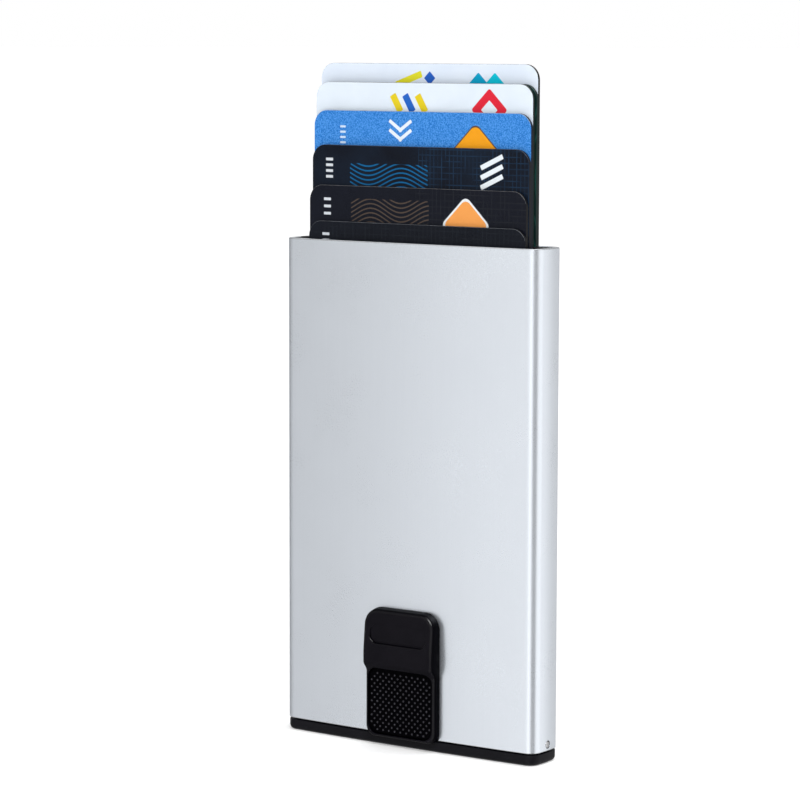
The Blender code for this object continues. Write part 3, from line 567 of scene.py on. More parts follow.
felt_wool = wool_felt("felt_wool")
for seed, place in enumerate(("front_left", "front_right", "rear_left", "rear_right")):
    low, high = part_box(f"{place}_felt")
    fuzz = Vector((FELT_FUZZ, FELT_FUZZ, FELT_FUZZ))
    strip = add_block(f"{place}_wool_strip", low + fuzz, high - fuzz)
    round_edges(strip, FELT_CORNER, 6, lambda edge: along(edge, Y))
    start_editing(strip)
    for axis, cells in ((Z, FELT_CELLS_UP), (X, FELT_CELLS_ACROSS)):
        side = high[axis] - low[axis]
        cut_across(axis, [low[axis] + side * cell / cells for cell in range(1, cells)])
    bpy.ops.mesh.select_all(action="SELECT")
    bpy.ops.transform.vertex_random(offset=FELT_FUZZ, uniform=1.0, normal=0.0, seed=seed)
    stop_editing()
    finish_shape(strip, angle=60)
    dress(strip, [felt_wool], "case", f"{place}_felt")


# Slider: the thumb slider is a black moulding with a stepped front: a flat lower part that holds
# the grip, a crest that the thumb pushes against, and a sloping top with a shallow scoop. A stem
# on its back goes through the slot.

SLIDER_LOW, SLIDER_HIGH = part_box("thumb_slider")
SLIDER_RISE = 0.3 * MM
SLIDER_TOP_Z = SLIDER_HIGH.z + SLIDER_RISE
SLIDER_HEIGHT = SLIDER_TOP_Z - SLIDER_LOW.z
SLIDER_WIDTH = SLIDER_HIGH.x - SLIDER_LOW.x
FRONT_Y = CASE_LOW.y
SLIDER_BACK_Y = FRONT_Y - 0.2 * MM
SLIDER_FACE_Y = SLIDER_BACK_Y - 1.0 * MM
PAD_PROUD = 1.5 * MM
CREST_PROUD = 2.7 * MM
TOP_PROUD = 1.9 * MM
STEP_START = 13.7 * MM
CREST_START = 16.1 * MM
CREST_END = 18.4 * MM
CREST_BLEND = 0.8 * MM
STEP_ROWS = 12
CREST_ROWS = 8
SLIDER_DRAFT = 0.25 * MM
SLIDER_TOP_CORNER = 3.4 * MM
SLIDER_FOOT_CORNER = 2.2 * MM
SLIDER_EDGE = 0.62 * MM
GRIP_LOW, GRIP_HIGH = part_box("grip_insert")
GRIP_GAP = 0.2 * MM
GRIP_TOP_Z = GRIP_HIGH.z + 0.6 * MM
GRIP_TOP_CORNER = 2.0 * MM
GRIP_FOOT_CORNER = 2.2 * MM
PAD_FLOOR_Y = FRONT_Y - 0.35 * MM
SCOOP_LOW = Vector((-7.0 * MM, FRONT_Y - 3.1 * MM, SLIDER_LOW.z + 20.2 * MM))
SCOOP_HIGH = Vector((7.0 * MM, FRONT_Y - 2.24 * MM, SLIDER_LOW.z + 24.1 * MM))
SCOOP_CORNER = 1.7 * MM
SCOOP_EDGE = 0.34 * MM
SCOOP_TILT = 0.13 * MM
SCOOP_MARGIN = 0.05 * MM
SCOOP_RIM_LOW_Z = SCOOP_LOW.z - SCOOP_MARGIN
SCOOP_RIM_HIGH_Z = SCOOP_HIGH.z - SCOOP_CORNER + SCOOP_MARGIN
STEM_LOW = (-2.2 * MM, SLIDER_BACK_Y - 0.3 * MM, 4.5 * MM)
STEM_HIGH = (2.2 * MM, -4.5 * MM, 9.5 * MM)
STEM_CORNER = 1.2 * MM
FINE_EDGE = 0.12 * MM
# Which nylon a slider face takes: the lit face, the painted shade, or the glossier edge.
LIT_FRONT, PAINTED_SHADE_FLANK, WORN_FINISH = 0, 1, 2
FLANK_OUT = -0.6
TOP_UP = 0.5
TOP_ACROSS = 0.25
WORN_OUT = -0.985
WORN_UP = -0.3
WORN_TILT = 0.12


def slider_proud(height):
    """How far the slider's face stands out from its back at a height above its foot."""
    if height < STEP_START:
        return PAD_PROUD
    if height < CREST_START:
        share = (height - STEP_START) / (CREST_START - STEP_START)
        return PAD_PROUD + (CREST_PROUD - PAD_PROUD) * (1 - cos(pi * share)) / 2
    past = height - CREST_END
    if past < -CREST_BLEND:
        return CREST_PROUD
    slope = (TOP_PROUD - CREST_PROUD) / (SLIDER_HEIGHT - CREST_END)
    if past < CREST_BLEND:
        return CREST_PROUD + slope * (past + CREST_BLEND) ** 2 / (4 * CREST_BLEND)
    return CREST_PROUD + slope * past


def rounded_block(name, low, high, foot_corner, top_corner):
    """A block along Y with one radius on its upper corners and one on its lower ones."""
    block = add_block(name, low, high)
    for corner_z, radius in ((high[Z], top_corner), (low[Z], foot_corner)):
        round_edges(block, radius, 12, lambda edge: along(edge, Y) and level(edge, corner_z))
    return block


def on_slider_face(vert):
    return vert.co.y < SLIDER_FACE_Y


def on_scoop_rim(edge):
    """Whether an edge is in the lower part of the scoop's rim, where the scoop is deep."""
    return sharp(edge) and all(
        abs(vert.co.x) < SCOOP_HIGH.x + SCOOP_MARGIN
        and vert.co.y < SCOOP_HIGH.y - SCOOP_EDGE
        and SCOOP_RIM_LOW_Z < vert.co.z < SCOOP_RIM_HIGH_Z
        for vert in edge.verts
    )


def push_rows(piece, wanted, push_at):
    """Push the wanted vertices forwards, each level by its own amount."""
    verts = bmesh.from_edit_mesh(piece.data).verts
    for height in sorted({round(vert.co.z, 7) for vert in verts if wanted(vert)}):
        choose(piece, "VERT", lambda vert: abs(vert.co.z - height) < CLOSE and wanted(vert))
        if push_at(height):
            bpy.ops.transform.translate(value=(0, -push_at(height), 0))


slider = rounded_block(
    "thumb_push",
    (SLIDER_LOW.x, SLIDER_BACK_Y - PAD_PROUD, SLIDER_LOW.z),
    (SLIDER_HIGH.x, SLIDER_BACK_Y, SLIDER_TOP_Z),
    SLIDER_FOOT_CORNER,
    SLIDER_TOP_CORNER,
)
start_editing(slider)
step_height = CREST_START - STEP_START
rows = [STEP_START + step_height * row / STEP_ROWS for row in range(STEP_ROWS + 1)]
rows += [CREST_END + CREST_BLEND * (2 * row / CREST_ROWS - 1) for row in range(CREST_ROWS + 1)]
cut_across(Z, [SLIDER_LOW.z + row for row in rows])
push_rows(
    slider, on_slider_face, lambda height: slider_proud(height - SLIDER_LOW.z) - PAD_PROUD
)
choose(slider, "VERT", on_slider_face)
bpy.ops.transform.resize(
    value=(1 - 2 * SLIDER_DRAFT / SLIDER_WIDTH, 1, 1 - 2 * SLIDER_DRAFT / SLIDER_HEIGHT),
    center_override=(0, SLIDER_BACK_Y, SLIDER_LOW.z + SLIDER_HEIGHT / 2),
)
stop_editing()
round_edges(
    slider, SLIDER_EDGE, 5, lambda edge: sharp(edge, 50) and all(map(on_slider_face, edge.verts))
)
pad_recess = rounded_block(
    "pad_recess",
    (GRIP_LOW.x - GRIP_GAP, FRONT_Y - 2 * CREST_PROUD, GRIP_LOW.z - GRIP_GAP),
    (GRIP_HIGH.x + GRIP_GAP, PAD_FLOOR_Y, GRIP_TOP_Z + GRIP_GAP),
    GRIP_FOOT_CORNER + GRIP_GAP,
    GRIP_TOP_CORNER + GRIP_GAP,
)
carve(slider, pad_recess)
round_edges(slider, FINE_EDGE, 3, lambda edge: sharp(edge, 40))
scoop = rounded_block("scoop", SCOOP_LOW, SCOOP_HIGH, SCOOP_CORNER, SCOOP_CORNER)
start_editing(scoop)
push_rows(
    scoop,
    lambda vert: vert.co.y > SCOOP_HIGH.y - 2 * SCOOP_TILT,
    lambda height: SCOOP_TILT * (height - SCOOP_LOW.z) / (SCOOP_HIGH.z - SCOOP_LOW.z),
)
stop_editing()
carve(slider, scoop)
round_edges(slider, SCOOP_EDGE, 4, on_scoop_rim, clamped=False)
unite(slider, rounded_block("stem", STEM_LOW, STEM_HIGH, STEM_CORNER, STEM_CORNER))
finish_shape(slider)
# The slider's nylon comes in lit and shaded copies: the sides, top and underside get a much darker
# colour, a painted shade, the face a lighter one, and the rounded edges a glossier one.
lit_face_nylon = moulded_plastic(
    "lit_face_nylon",
    (0.0068, 0.0062, 0.0086),
    (0.0088, 0.0081, 0.0108),
    rough=0.40,
    specular=0.03,
)
painted_shade_flank_nylon = moulded_plastic(
    "painted_shade_flank_nylon", (0.0008, 0.0007, 0.0016), (0.0016, 0.0014, 0.0028), rough=0.36, specular=0.03
)
worn_edge_nylon = moulded_plastic(
    "worn_edge_nylon",
    (0.0046, 0.0043, 0.0060),
    (0.0062, 0.0058, 0.0078),
    rough=0.16,
    specular=0.19,
)
slider_nylons = [lit_face_nylon, painted_shade_flank_nylon, worn_edge_nylon]
dress(slider, slider_nylons, "slider", "thumb_slider")
# Sides, top and underside take the painted shade; tilted edge faces take the glossier nylon.
for face in slider.data.polygons:
    across, out, up = face.normal
    if out > FLANK_OUT or (up > TOP_UP and abs(across) < TOP_ACROSS):
        face.material_index = PAINTED_SHADE_FLANK
    elif out > WORN_OUT and up > WORN_UP and max(abs(across), up) > WORN_TILT:
        face.material_index = WORN_FINISH
    else:
        face.material_index = LIT_FRONT


# Grip: a pad of black rubber is pressed into the slider's recess. Its face has small pointed
# studs in staggered rows. Its colour runs from black on the floor between the studs to dark
# grey at their tips.

STUD_PITCH_X = 1.46 * MM
STUD_PITCH_Z = 1.49 * MM
STUD_ROWS = 17
STUD_COLUMNS = 12
STUD_SIDES = 10
STUD_RADIUS = 0.36 * MM
STUD_TIP_RADIUS = 0.17 * MM
STUD_HEIGHT = 0.24 * MM
STUD_ROOT = 0.05 * MM
STUD_MARGIN = STUD_RADIUS + 0.05 * MM
GREY_TIP_FROM = 0.1 * MM
RUBBER_GRAIN = 0.06 * MM
GRIP_FACE_Y = FRONT_Y - PAD_PROUD + 0.25 * MM


def grip_rubber(name):
    """Black rubber, dull, with greyer stud tips."""
    surface, tree, shader = new_surface(name, {"Specular IOR Level": 0.02})
    fine = grain(tree, RUBBER_GRAIN, detail=3.0)
    depth = add_node(tree, "ShaderNodeSeparateXYZ", {0: object_place(tree)}).outputs["Y"]
    # Greyer towards the stud tips, black on the floor between them.
    tip = spread(tree, depth, GRIP_FACE_Y - GREY_TIP_FROM, GRIP_FACE_Y - STUD_HEIGHT)
    colour = blend(tree, tip, (0.0006, 0.0005, 0.0012), (0.046, 0.045, 0.052))
    coat(tree, shader, colour, vary(tree, fine, 0.5, 0.7))
    emboss(tree, shader, fine, depth=0.006 * MM, strength=0.5)
    return surface


def clear_of_rim(x, z):
    """Whether a stud at this place stays inside the pad's rounded outline."""
    half = (GRIP_HIGH.x - GRIP_LOW.x) / 2
    height = GRIP_TOP_Z - GRIP_LOW.z
    up = z - GRIP_LOW.z
    if abs(x) > half - STUD_MARGIN or not STUD_MARGIN < up < height - STUD_MARGIN:
        return False
    radius = GRIP_TOP_CORNER if up > height / 2 else GRIP_FOOT_CORNER
    across = abs(x) - (half - radius)
    beyond = max(radius - up, up - (height - radius))
    return across < 0 or beyond < 0 or sqrt(across**2 + beyond**2) < radius - STUD_MARGIN


grip = rounded_block(
    "grip_pad",
    (GRIP_LOW.x, GRIP_FACE_Y, GRIP_LOW.z),
    (GRIP_HIGH.x, GRIP_HIGH.y, GRIP_TOP_Z),
    GRIP_FOOT_CORNER,
    GRIP_TOP_CORNER,
)
round_edges(grip, FINE_EDGE, 3, sharp)
finish_shape(grip)
bpy.ops.object.select_all(action="DESELECT")
bpy.ops.mesh.primitive_cone_add(
    vertices=STUD_SIDES,
    radius1=STUD_RADIUS,
    radius2=STUD_TIP_RADIUS,
    depth=STUD_HEIGHT + STUD_ROOT,
    location=(0, GRIP_FACE_Y + (STUD_ROOT - STUD_HEIGHT) / 2, GRIP_LOW.z),
    rotation=(pi / 2, 0, 0),
)
first_stud = keep_place("stud")
studs = []
for row in range(STUD_ROWS):
    for column in range(-STUD_COLUMNS, STUD_COLUMNS + 1):
        stud_x = STUD_PITCH_X * (column + 0.5 * (row % 2))
        stud_up = STUD_PITCH_Z * (row + 1) / 2
        if clear_of_rim(stud_x, GRIP_LOW.z + stud_up):
            stud = bpy.data.objects.new("stud", first_stud.data.copy())
            stud.location = (stud_x, 0, stud_up)
            bpy.context.scene.collection.objects.link(stud)
            studs.append(stud)
bpy.data.objects.remove(first_stud)
only(grip)
for stud in studs:
    stud.select_set(True)
bpy.ops.object.join()
bpy.ops.object.shade_smooth_by_angle(angle=radians(SMOOTH_ANGLE))
dress(grip, [grip_rubber("grip_rubber")], "slider", "grip_insert")


# Carriage, its screw and the drive pin: behind the front wall a moulded plate is screwed to the
# slider's stem, so that the two clamp the wall between them. A steel pin in the plate drives the
# lever.

CARRIAGE_EDGE = 0.12 * MM
SCREW_EDGE = 0.06 * MM

carriage = refine("slider_carriage", "clamp_plate", CARRIAGE_EDGE)
carriage_nylon = moulded_plastic(
    "carriage_nylon", (0.012, 0.012, 0.014), (0.020, 0.020, 0.022), rough=0.45
)
dress(carriage, [carriage_nylon], "slider", "slider_carriage")
screw = refine("carriage_screw", "clamp_screw", SCREW_EDGE)
dress(screw, [steel], "slider", "carriage_screw")
drive_pin = refine("drive_pin", "lever_drive_pin", STEEL_EDGE)
dress(drive_pin, [steel], "slider", "drive_pin")


# Cards: seven laminated plastic cards. Their faces lie under a clear glossy film, and the dark
# core shows along the cut edges. The prints are plain coloured marks. A mark has a middle and
# half sizes in millimetres from the middle of the card's foot, a corner radius, and an angle.

CARD_CORNER = 3.18 * MM
CARD_EDGE = 0.07 * MM
SOFT_EDGE = 0.05
GOLD = (0.80, 0.58, 0.25)
SILVER = (0.72, 0.72, 0.70)
PALE_INK = (0.66, 0.70, 0.75)
WHITE_INK = (0.80, 0.86, 0.90)
YELLOW_INK = (0.80, 0.62, 0.02)
BLUE_INK = (0.02, 0.13, 0.55)
RED_INK = (0.74, 0.022, 0.045)
ORANGE_INK = (0.90, 0.36, 0.012)
SALMON_INK = (0.90, 0.36, 0.09)
FILM_RIPPLE = 3.5 * MM
FILM_GRAIN = 0.12 * MM
LINE_BREAKS = 0.9 * MM
METAL_FLAKES = 0.25 * MM
EDGE_LINE_SPOTS = 0.5 * MM
SAW_LINES = 0.07 * MM
WEAVE_PART = ((14.0, 60.0), (14.0, 26.0), 1.0)
WEAVE_LINE = 0.2
WAVE_PITCH = 0.95
DASH_CORNER = 0.12
PLATES_MIDDLE = (-3.1, 16.6)
PLATES = (PLATES_MIDDLE, (4.7, 6.3), 1.3)
MIDDLE_PAD = (PLATES_MIDDLE, (1.72, 2.32), 0.7)
MIDDLE_PAD_AND_GAP = (PLATES_MIDDLE, (1.9, 2.5), 0.8)
PAD_LINE_UP = 2.95
HALF_GAP = 0.09
STRIPE = ((-16.2, 42.8), (6.35, 44.0), 0.1)
STRIPE_BLACK = (0.008, 0.007, 0.007)
PANEL = ((-3.0, 42.8), (4.0, 28.0), 0.4)
PANEL_WHITE = (0.72, 0.73, 0.72)
FRONT_FACE, BACK_FACE, CORE_FACE, PAINTED_EDGE_FACE = 0, 1, 2, 3
FLAT_OUT = 0.6
# Faces of the top front edge, which take the painted highlight colour.
EDGE_LINE_OUT = (-0.97, -0.2)
EDGE_LINE_UP = 0.2


def card_place(tree, card_low, card_high):
    """Place on the card in millimetres: X from its middle, Z from its foot."""
    middle_x = (card_low.x + card_high.x) / 2
    moved = {
        "Vector": object_place(tree),
        "Location": (-middle_x / MM, 0, -card_low.z / MM),
        "Scale": (1 / MM, 0, 1 / MM),
    }
    return add_node(tree, "ShaderNodeMapping", moved).outputs[0]


def vector(tree, operation, first, second=(0, 0, 0)):
    node = add_node(tree, "ShaderNodeVectorMath", {0: first, 1: second}, operation=operation)
    return node.outputs["Value" if operation == "LENGTH" else "Vector"]


def both(tree, first, second):
    return maths(tree, "MULTIPLY", first, second)


def axes(tree, place):
    return add_node(tree, "ShaderNodeSeparateXYZ", {0: place}).outputs


def inside(tree, distance, reach):
    """1 where a distance is under reach, 0 beyond it, with a soft printed edge."""
    return spread(tree, distance, reach + SOFT_EDGE, reach - SOFT_EDGE)


def patch(tree, place, middle, halves, corner, angle=0.0):
    """A rounded rectangle, given by its half sizes."""
    moved = vector(tree, "SUBTRACT", place, (middle[0], 0, middle[1]))
    turn = {"Vector": moved, "Angle": radians(angle)}
    turned = add_node(tree, "ShaderNodeVectorRotate", turn, rotation_type="Y_AXIS").outputs[0]
    core = (halves[0] - corner, 0, halves[1] - corner)
    over = vector(tree, "SUBTRACT", vector(tree, "ABSOLUTE", turned), core)
    return inside(tree, vector(tree, "LENGTH", vector(tree, "MAXIMUM", over)), corner)


def stripes(tree, distance, pitch, width):
    """Lines of a width, a pitch apart."""
    return inside(tree, maths(tree, "PINGPONG", distance, pitch / 2), width / 2)


def waves(tree, along_line, across_line, pitch, swing, length, width):
    """Fine wavy lines side by side."""
    swell = maths(tree, "SINE", maths(tree, "MULTIPLY", along_line, 2 * pi / length))
    drawn = maths(tree, "ADD", across_line, maths(tree, "MULTIPLY", swell, swing))
    return stripes(tree, drawn, pitch, width)


def broken(tree, lines, stretch):
    """Lines that fade out here and there."""
    breaks = grain(tree, LINE_BREAKS, stretch=stretch)
    return both(tree, lines, vary(tree, breaks, -0.2, 1.2))


def lattice(tree, place, pitch):
    """A faint grid of fine broken lines."""
    parts = axes(tree, place)
    level_lines = stripes(tree, parts["Z"], pitch, WEAVE_LINE)
    upright_lines = stripes(tree, parts["X"], 0.8 * pitch, WEAVE_LINE)
    return maths(
        tree,
        "MAXIMUM",
        broken(tree, level_lines, (5, 1, 1)),
        broken(tree, upright_lines, (1, 1, 5)),
    )


def laminate(name):
    """The clear film over a card's print, with the faint waviness of laminating."""
    surface, tree, shader = new_surface(name, {"Specular IOR Level": 0.12})
    ripple = grain(tree, FILM_RIPPLE, detail=1.0)
    fine = vary(tree, grain(tree, FILM_GRAIN), 0.24, 0.29)
    rough = maths(tree, "ADD", fine, vary(tree, ripple, 0.0, 0.04))
    tree.links.new(rough, shader.inputs["Roughness"])
    emboss(tree, shader, ripple, depth=0.01 * MM, strength=0.25)
    return surface, tree, shader


def paper(tree, low, high, size):
    """The print's ground: two close colours, mottled."""
    return blend(tree, vary(tree, grain(tree, size, detail=3.0), 0.0, 1.0), low, high)


def stamp(tree, place, ground, colour, *marks):
    """Print rounded rectangles over the ground in one colour."""
    for mark in marks:
        ground = blend(tree, patch(tree, place, *mark), ground, colour)
    return ground


def diamond(middle, half, corner):
    """The mark of a square that stands on one corner."""
    return middle, (half, half), corner, 45


def ticks(middle, count, pitch, halves, angle=0.0):
    """The marks of a column of short dashes."""
    lowest = middle[1] - pitch * (count - 1) / 2
    places = [(middle[0], lowest + pitch * tick) for tick in range(count)]
    return [(place, halves, DASH_CORNER, angle) for place in places]


def woven(tree, place, ground, thread, pitch):
    """Print a fine weave on the card's right side."""
    shown = both(tree, lattice(tree, place, pitch), patch(tree, place, *WEAVE_PART))
    return blend(tree, shown, ground, thread)


def wavy(tree, place, ground, colour, mark, swing, length, width):
    """Print wavy lines inside a mark."""
    parts = axes(tree, place)
    lines = waves(tree, parts["X"], parts["Z"], WAVE_PITCH, swing, length, width)
    return blend(tree, both(tree, lines, patch(tree, place, *mark)), ground, colour)


def rear_white_print(tree, place):
    ground = paper(tree, (0.765, 0.850, 0.975), (0.815, 0.895, 1.0), size=9 * MM)
    for colour, mark in (
        ((0.80, 0.76, 0.03), ((-4.6, 82.3), (3.4, 0.7), 0.2, 20)),
        ((0.02, 0.12, 0.55), diamond((0.6, 82.6), 1.0, 0.15)),
        ((0.0, 0.37, 0.62), diamond((12.6, 81.2), 1.9, 0.3)),
        ((0.0, 0.55, 0.72), diamond((16.6, 81.2), 1.9, 0.3)),
    ):
        ground = stamp(tree, place, ground, colour, mark)
    return ground


def green_print(tree, place):
    ground = paper(tree, (0.004, 0.020, 0.018), (0.007, 0.030, 0.026), size=7 * MM)
    parts = axes(tree, place)
    lines = waves(tree, parts["Z"], parts["X"], pitch=1.6, swing=-2.0, length=38.0, width=0.35)
    return blend(tree, lines, ground, (0.012, 0.060, 0.050))


def front_white_print(tree, place):
    ground = paper(tree, (0.755, 0.835, 0.925), (0.805, 0.885, 0.975), size=8 * MM)
    for bar, colour in enumerate((YELLOW_INK, BLUE_INK, YELLOW_INK)):
        mark = ((-6.4 + 3.1 * bar, 81.4), (0.8, 2.0), 0.2, 30)
        ground = stamp(tree, place, ground, colour, mark)
    ground = stamp(tree, place, ground, RED_INK, diamond((16.5, 80.3), 3.1, 0.5))
    return stamp(tree, place, ground, (0.76, 0.84, 0.92), diamond((16.5, 80.3), 1.4, 0.2))


def blue_print(tree, place):
    flakes = vary(tree, grain(tree, METAL_FLAKES), -0.15, 1.15)
    ground = blend(tree, flakes, (0.012, 0.155, 0.540), (0.088, 0.338, 0.825))
    chevrons = [
        ((-5.0 + 1.2 * side, 82.6 - 1.9 * row), (1.9, 0.36), 0.2, 35 * side)
        for row in range(2)
        for side in (-1, 1)
    ]
    ground = stamp(tree, place, ground, (0.80, 0.86, 0.93), *chevrons)
    ground = stamp(tree, place, ground, (0.10, 0.07, 0.05), diamond((13.6, 77.0), 4.7, 1.6))
    ground = stamp(tree, place, ground, ORANGE_INK, diamond((13.6, 77.0), 4.45, 1.6))
    dashes = ticks((-19.6, 80.6), count=4, pitch=1.1, halves=(0.7, 0.22))
    return stamp(tree, place, ground, (0.62, 0.76, 0.92), *dashes)


def navy_print(tree, place):
    ground = paper(tree, (0.0034, 0.0050, 0.0110), (0.0056, 0.0118, 0.0250), size=10 * MM)
    ground = woven(tree, place, ground, (0.010, 0.030, 0.066), pitch=1.2)
    panel, blue = ((-7.5, 79.4), (9.8, 2.5), 0.6), (0.004, 0.115, 0.290)
    ground = wavy(tree, place, ground, blue, panel, swing=1.3, length=17.0, width=0.3)
    bars = ticks((18.0, 80.9), count=3, pitch=2.0, halves=(2.9, 0.5), angle=25)
    ground = stamp(tree, place, ground, WHITE_INK, *bars)
    dashes = ticks((-22.6, 80.8), count=4, pitch=1.2, halves=(0.9, 0.28))
    return stamp(tree, place, ground, PALE_INK, *dashes)


def black_print(tree, place):
    ground = paper(tree, (0.0048, 0.0062, 0.0120), (0.0072, 0.0086, 0.0160), size=10 * MM)
    ground = woven(tree, place, ground, (0.014, 0.016, 0.022), pitch=1.3)
    panel, tan = ((-6.5, 80.6), (9.8, 2.4), 0.6), (0.080, 0.058, 0.046)
    ground = wavy(tree, place, ground, tan, panel, swing=-1.3, length=15.0, width=0.28)
    ground = stamp(tree, place, ground, (0.82, 0.86, 0.88), diamond((12.4, 78.2), 4.35, 1.4))
    ground = stamp(tree, place, ground, SALMON_INK, diamond((12.4, 78.2), 3.95, 1.4))
    dashes = ticks((-22.4, 81.2), count=3, pitch=1.5, halves=(0.9, 0.28))
    return stamp(tree, place, ground, PALE_INK, *dashes)


def front_black_print(tree, place):
    ground = paper(tree, (0.0046, 0.0062, 0.0108), (0.0068, 0.0086, 0.0146), size=10 * MM)
    ground = blend(tree, lattice(tree, place, pitch=1.3), ground, (0.012, 0.015, 0.021))
    dashes = ticks((-22.6, 81.6), count=3, pitch=1.3, halves=(0.9, 0.28))
    return stamp(tree, place, ground, PALE_INK, *dashes)


def add_contact_plates(tree, shader, place, ground, metal):
    """The chip's metal plates: eight pads round a middle one, with fine gaps between."""
    from_middle = vector(tree, "SUBTRACT", place, (PLATES_MIDDLE[0], 0, PLATES_MIDDLE[1]))
    away = axes(tree, vector(tree, "ABSOLUTE", from_middle))
    core = patch(tree, place, *MIDDLE_PAD_AND_GAP)
    gaps = maths(tree, "SUBTRACT", core, patch(tree, place, *MIDDLE_PAD))
    outside = maths(tree, "SUBTRACT", 1.0, core)
    from_line = maths(tree, "ABSOLUTE", maths(tree, "SUBTRACT", away["Z"], PAD_LINE_UP))
    for distance in (from_line, away["Z"], away["X"]):
        gap = both(tree, inside(tree, distance, HALF_GAP), outside)
        gaps = maths(tree, "MAXIMUM", gaps, gap)
    plates = both(tree, patch(tree, place, *PLATES), maths(tree, "SUBTRACT", 1.0, gaps))
    tree.links.new(plates, shader.inputs["Metallic"])
    return blend(tree, plates, ground, metal)


def painted_edge_line(name, colour):
    """Painted highlight along a card's top front edge; greyer than the print on white cards."""
    surface, tree, shader = new_surface(name, {"Specular IOR Level": 0.3})
    edge_spots = grain(tree, EDGE_LINE_SPOTS, stretch=(3, 1, 1))
    dull = [0.55 * part for part in colour]
    tone = blend(tree, vary(tree, edge_spots, 0.0, 1.0), dull, colour)
    coat(tree, shader, tone, vary(tree, edge_spots, 0.35, 0.5))
    return surface


def core_edge(name, dark, light):
    """The cut edge: dark core with the saw's fine lines along it."""
    surface, tree, shader = new_surface(name, {"Specular IOR Level": 0.22})
    lines = grain(tree, SAW_LINES, stretch=(12, 1, 12))
    coat(tree, shader, blend(tree, lines, dark, light), vary(tree, lines, 0.4, 0.55))
    return surface


# For each card: its print, the chip's metal, the back and the painted colour of its top edge.
CARD_LOOKS = (
    (rear_white_print, GOLD, (0.55, 0.60, 0.66), (0.55, 0.57, 0.60)),
    (green_print, GOLD, (0.004, 0.018, 0.016), (0.06, 0.09, 0.09)),
    (front_white_print, GOLD, (0.55, 0.60, 0.66), (0.50, 0.52, 0.55)),
    (blue_print, SILVER, (0.03, 0.12, 0.36), (0.40, 0.56, 0.80)),
    (navy_print, SILVER, (0.006, 0.010, 0.020), (0.07, 0.08, 0.11)),
    (black_print, SILVER, (0.007, 0.008, 0.013), (0.15, 0.15, 0.16)),
    (front_black_print, SILVER, (0.007, 0.008, 0.012), (0.13, 0.14, 0.16)),
)
CORE_TONES = (
    ((0.003, 0.004, 0.005), (0.007, 0.008, 0.010)),
    ((0.002, 0.008, 0.007), (0.004, 0.016, 0.014)),
    ((0.002, 0.007, 0.006), (0.004, 0.014, 0.012)),
    ((0.0015, 0.003, 0.008), (0.003, 0.006, 0.016)),
    ((0.0015, 0.002, 0.004), (0.003, 0.004, 0.008)),
    ((0.0015, 0.0015, 0.002), (0.003, 0.003, 0.005)),
    ((0.0015, 0.0015, 0.002), (0.003, 0.003, 0.005)),
)

for number, (looks, core_tones) in enumerate(zip(CARD_LOOKS, CORE_TONES), 1):
    draw_front, metal, back_colour, edge_line_colour = looks
    node = f"card_{number}"
    low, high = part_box(node)
    card = add_block(f"{node}_laminate", low, high)
    round_edges(card, CARD_CORNER, 12, lambda edge: along(edge, Y))
    round_edges(card, CARD_EDGE, 2, sharp)
    finish_shape(card, angle=50)

    front, tree, shader = laminate(f"{node}_front")
    place = card_place(tree, low, high)
    printed = add_contact_plates(tree, shader, place, draw_front(tree, place), metal)
    tree.links.new(printed, shader.inputs["Base Color"])

    back, tree, shader = laminate(f"{node}_back")
    place = card_place(tree, low, high)
    stock = paper(tree, back_colour, [1.12 * part for part in back_colour], size=8 * MM)
    stock = stamp(tree, place, stock, STRIPE_BLACK, STRIPE)
    stock = stamp(tree, place, stock, PANEL_WHITE, PANEL)
    tree.links.new(stock, shader.inputs["Base Color"])

    core = core_edge(f"{node}_core", *core_tones)
    edge_line_surface = painted_edge_line(f"{node}_painted_edge_line", edge_line_colour)
    dress(card, [front, back, core, edge_line_surface], node, node)
    # The top front edge takes the painted highlight colour.
    for face in card.data.polygons:
        out, up = face.normal.y, face.normal.z
        if EDGE_LINE_OUT[0] < out < EDGE_LINE_OUT[1] and up > EDGE_LINE_UP:
            face.material_index = PAINTED_EDGE_FACE
        elif abs(out) > FLAT_OUT:
            face.material_index = FRONT_FACE if out < 0 else BACK_FACE
        else:
            face.material_index = CORE_FACE


# Studio: the holder stands on a white table, with a soft lamp before it and one behind it. Only
# reflections show the other two: a window that lights the plastic edges, and a round tent of
# pale cloth with lighter and darker panels.

CAMERA_PLACE = Vector((365.720, -529.154, 146.751)) * MM
CAMERA_RIGHT = (0.81867781, 0.57424816, 0.00238645)
CAMERA_UP = (-0.06783384, 0.09257911, 0.99339201)
CAMERA_BACK = (0.57023259, -0.81342988, 0.11474592)
FOCAL_LENGTH = 140.740
SENSOR_WIDTH = 36.0
NEAREST = 0.01
FARTHEST = 50.0
LAMP_AIM = Vector((0, 0, 0.06))
TABLE_SIZE = 120.0
SHADOW_REACH = 0.25
WHITE_FROM = 0.9
LIFT_NEAR = 0.26
LIFT_FAR = 0.52
ROOM_LIGHT = 0.55
WHITE = (1, 1, 1, 1)
BLACK = (0, 0, 0, 1)
TABLE_MOTTLE = 40 * MM
TENT_SIDES = 96
TENT_RADIUS = 2.0
TENT_FOOT_Z = -4.5
TENT_TOP_Z = 2.5
DIM_FROM_Z = 0.03
DIM_TO_Z = 0.45
DIM_SHARE = 0.72
# Degrees round the tent, where 0 is in front of the holder and 90 at its right, and the shade.
TENT_SHADES = (
    (-180, 0.62),
    (-150, 0.62),
    (-140, 0.75),
    (-112, 0.75),
    (-105, 0.22),
    (-82, 0.22),
    (-76, 0.50),
    (-37, 0.47),
    (-30, 1.10),
    (-20, 0.84),
    (1, 0.84),
    (9, 1.22),
    (26, 1.22),
    (34, 0.80),
    (39, 0.28),
    (72, 0.28),
    (79, 0.85),
    (86, 1.06),
    (122, 1.06),
    (138, 0.98),
    (148, 0.54),
    (180, 0.56),
)


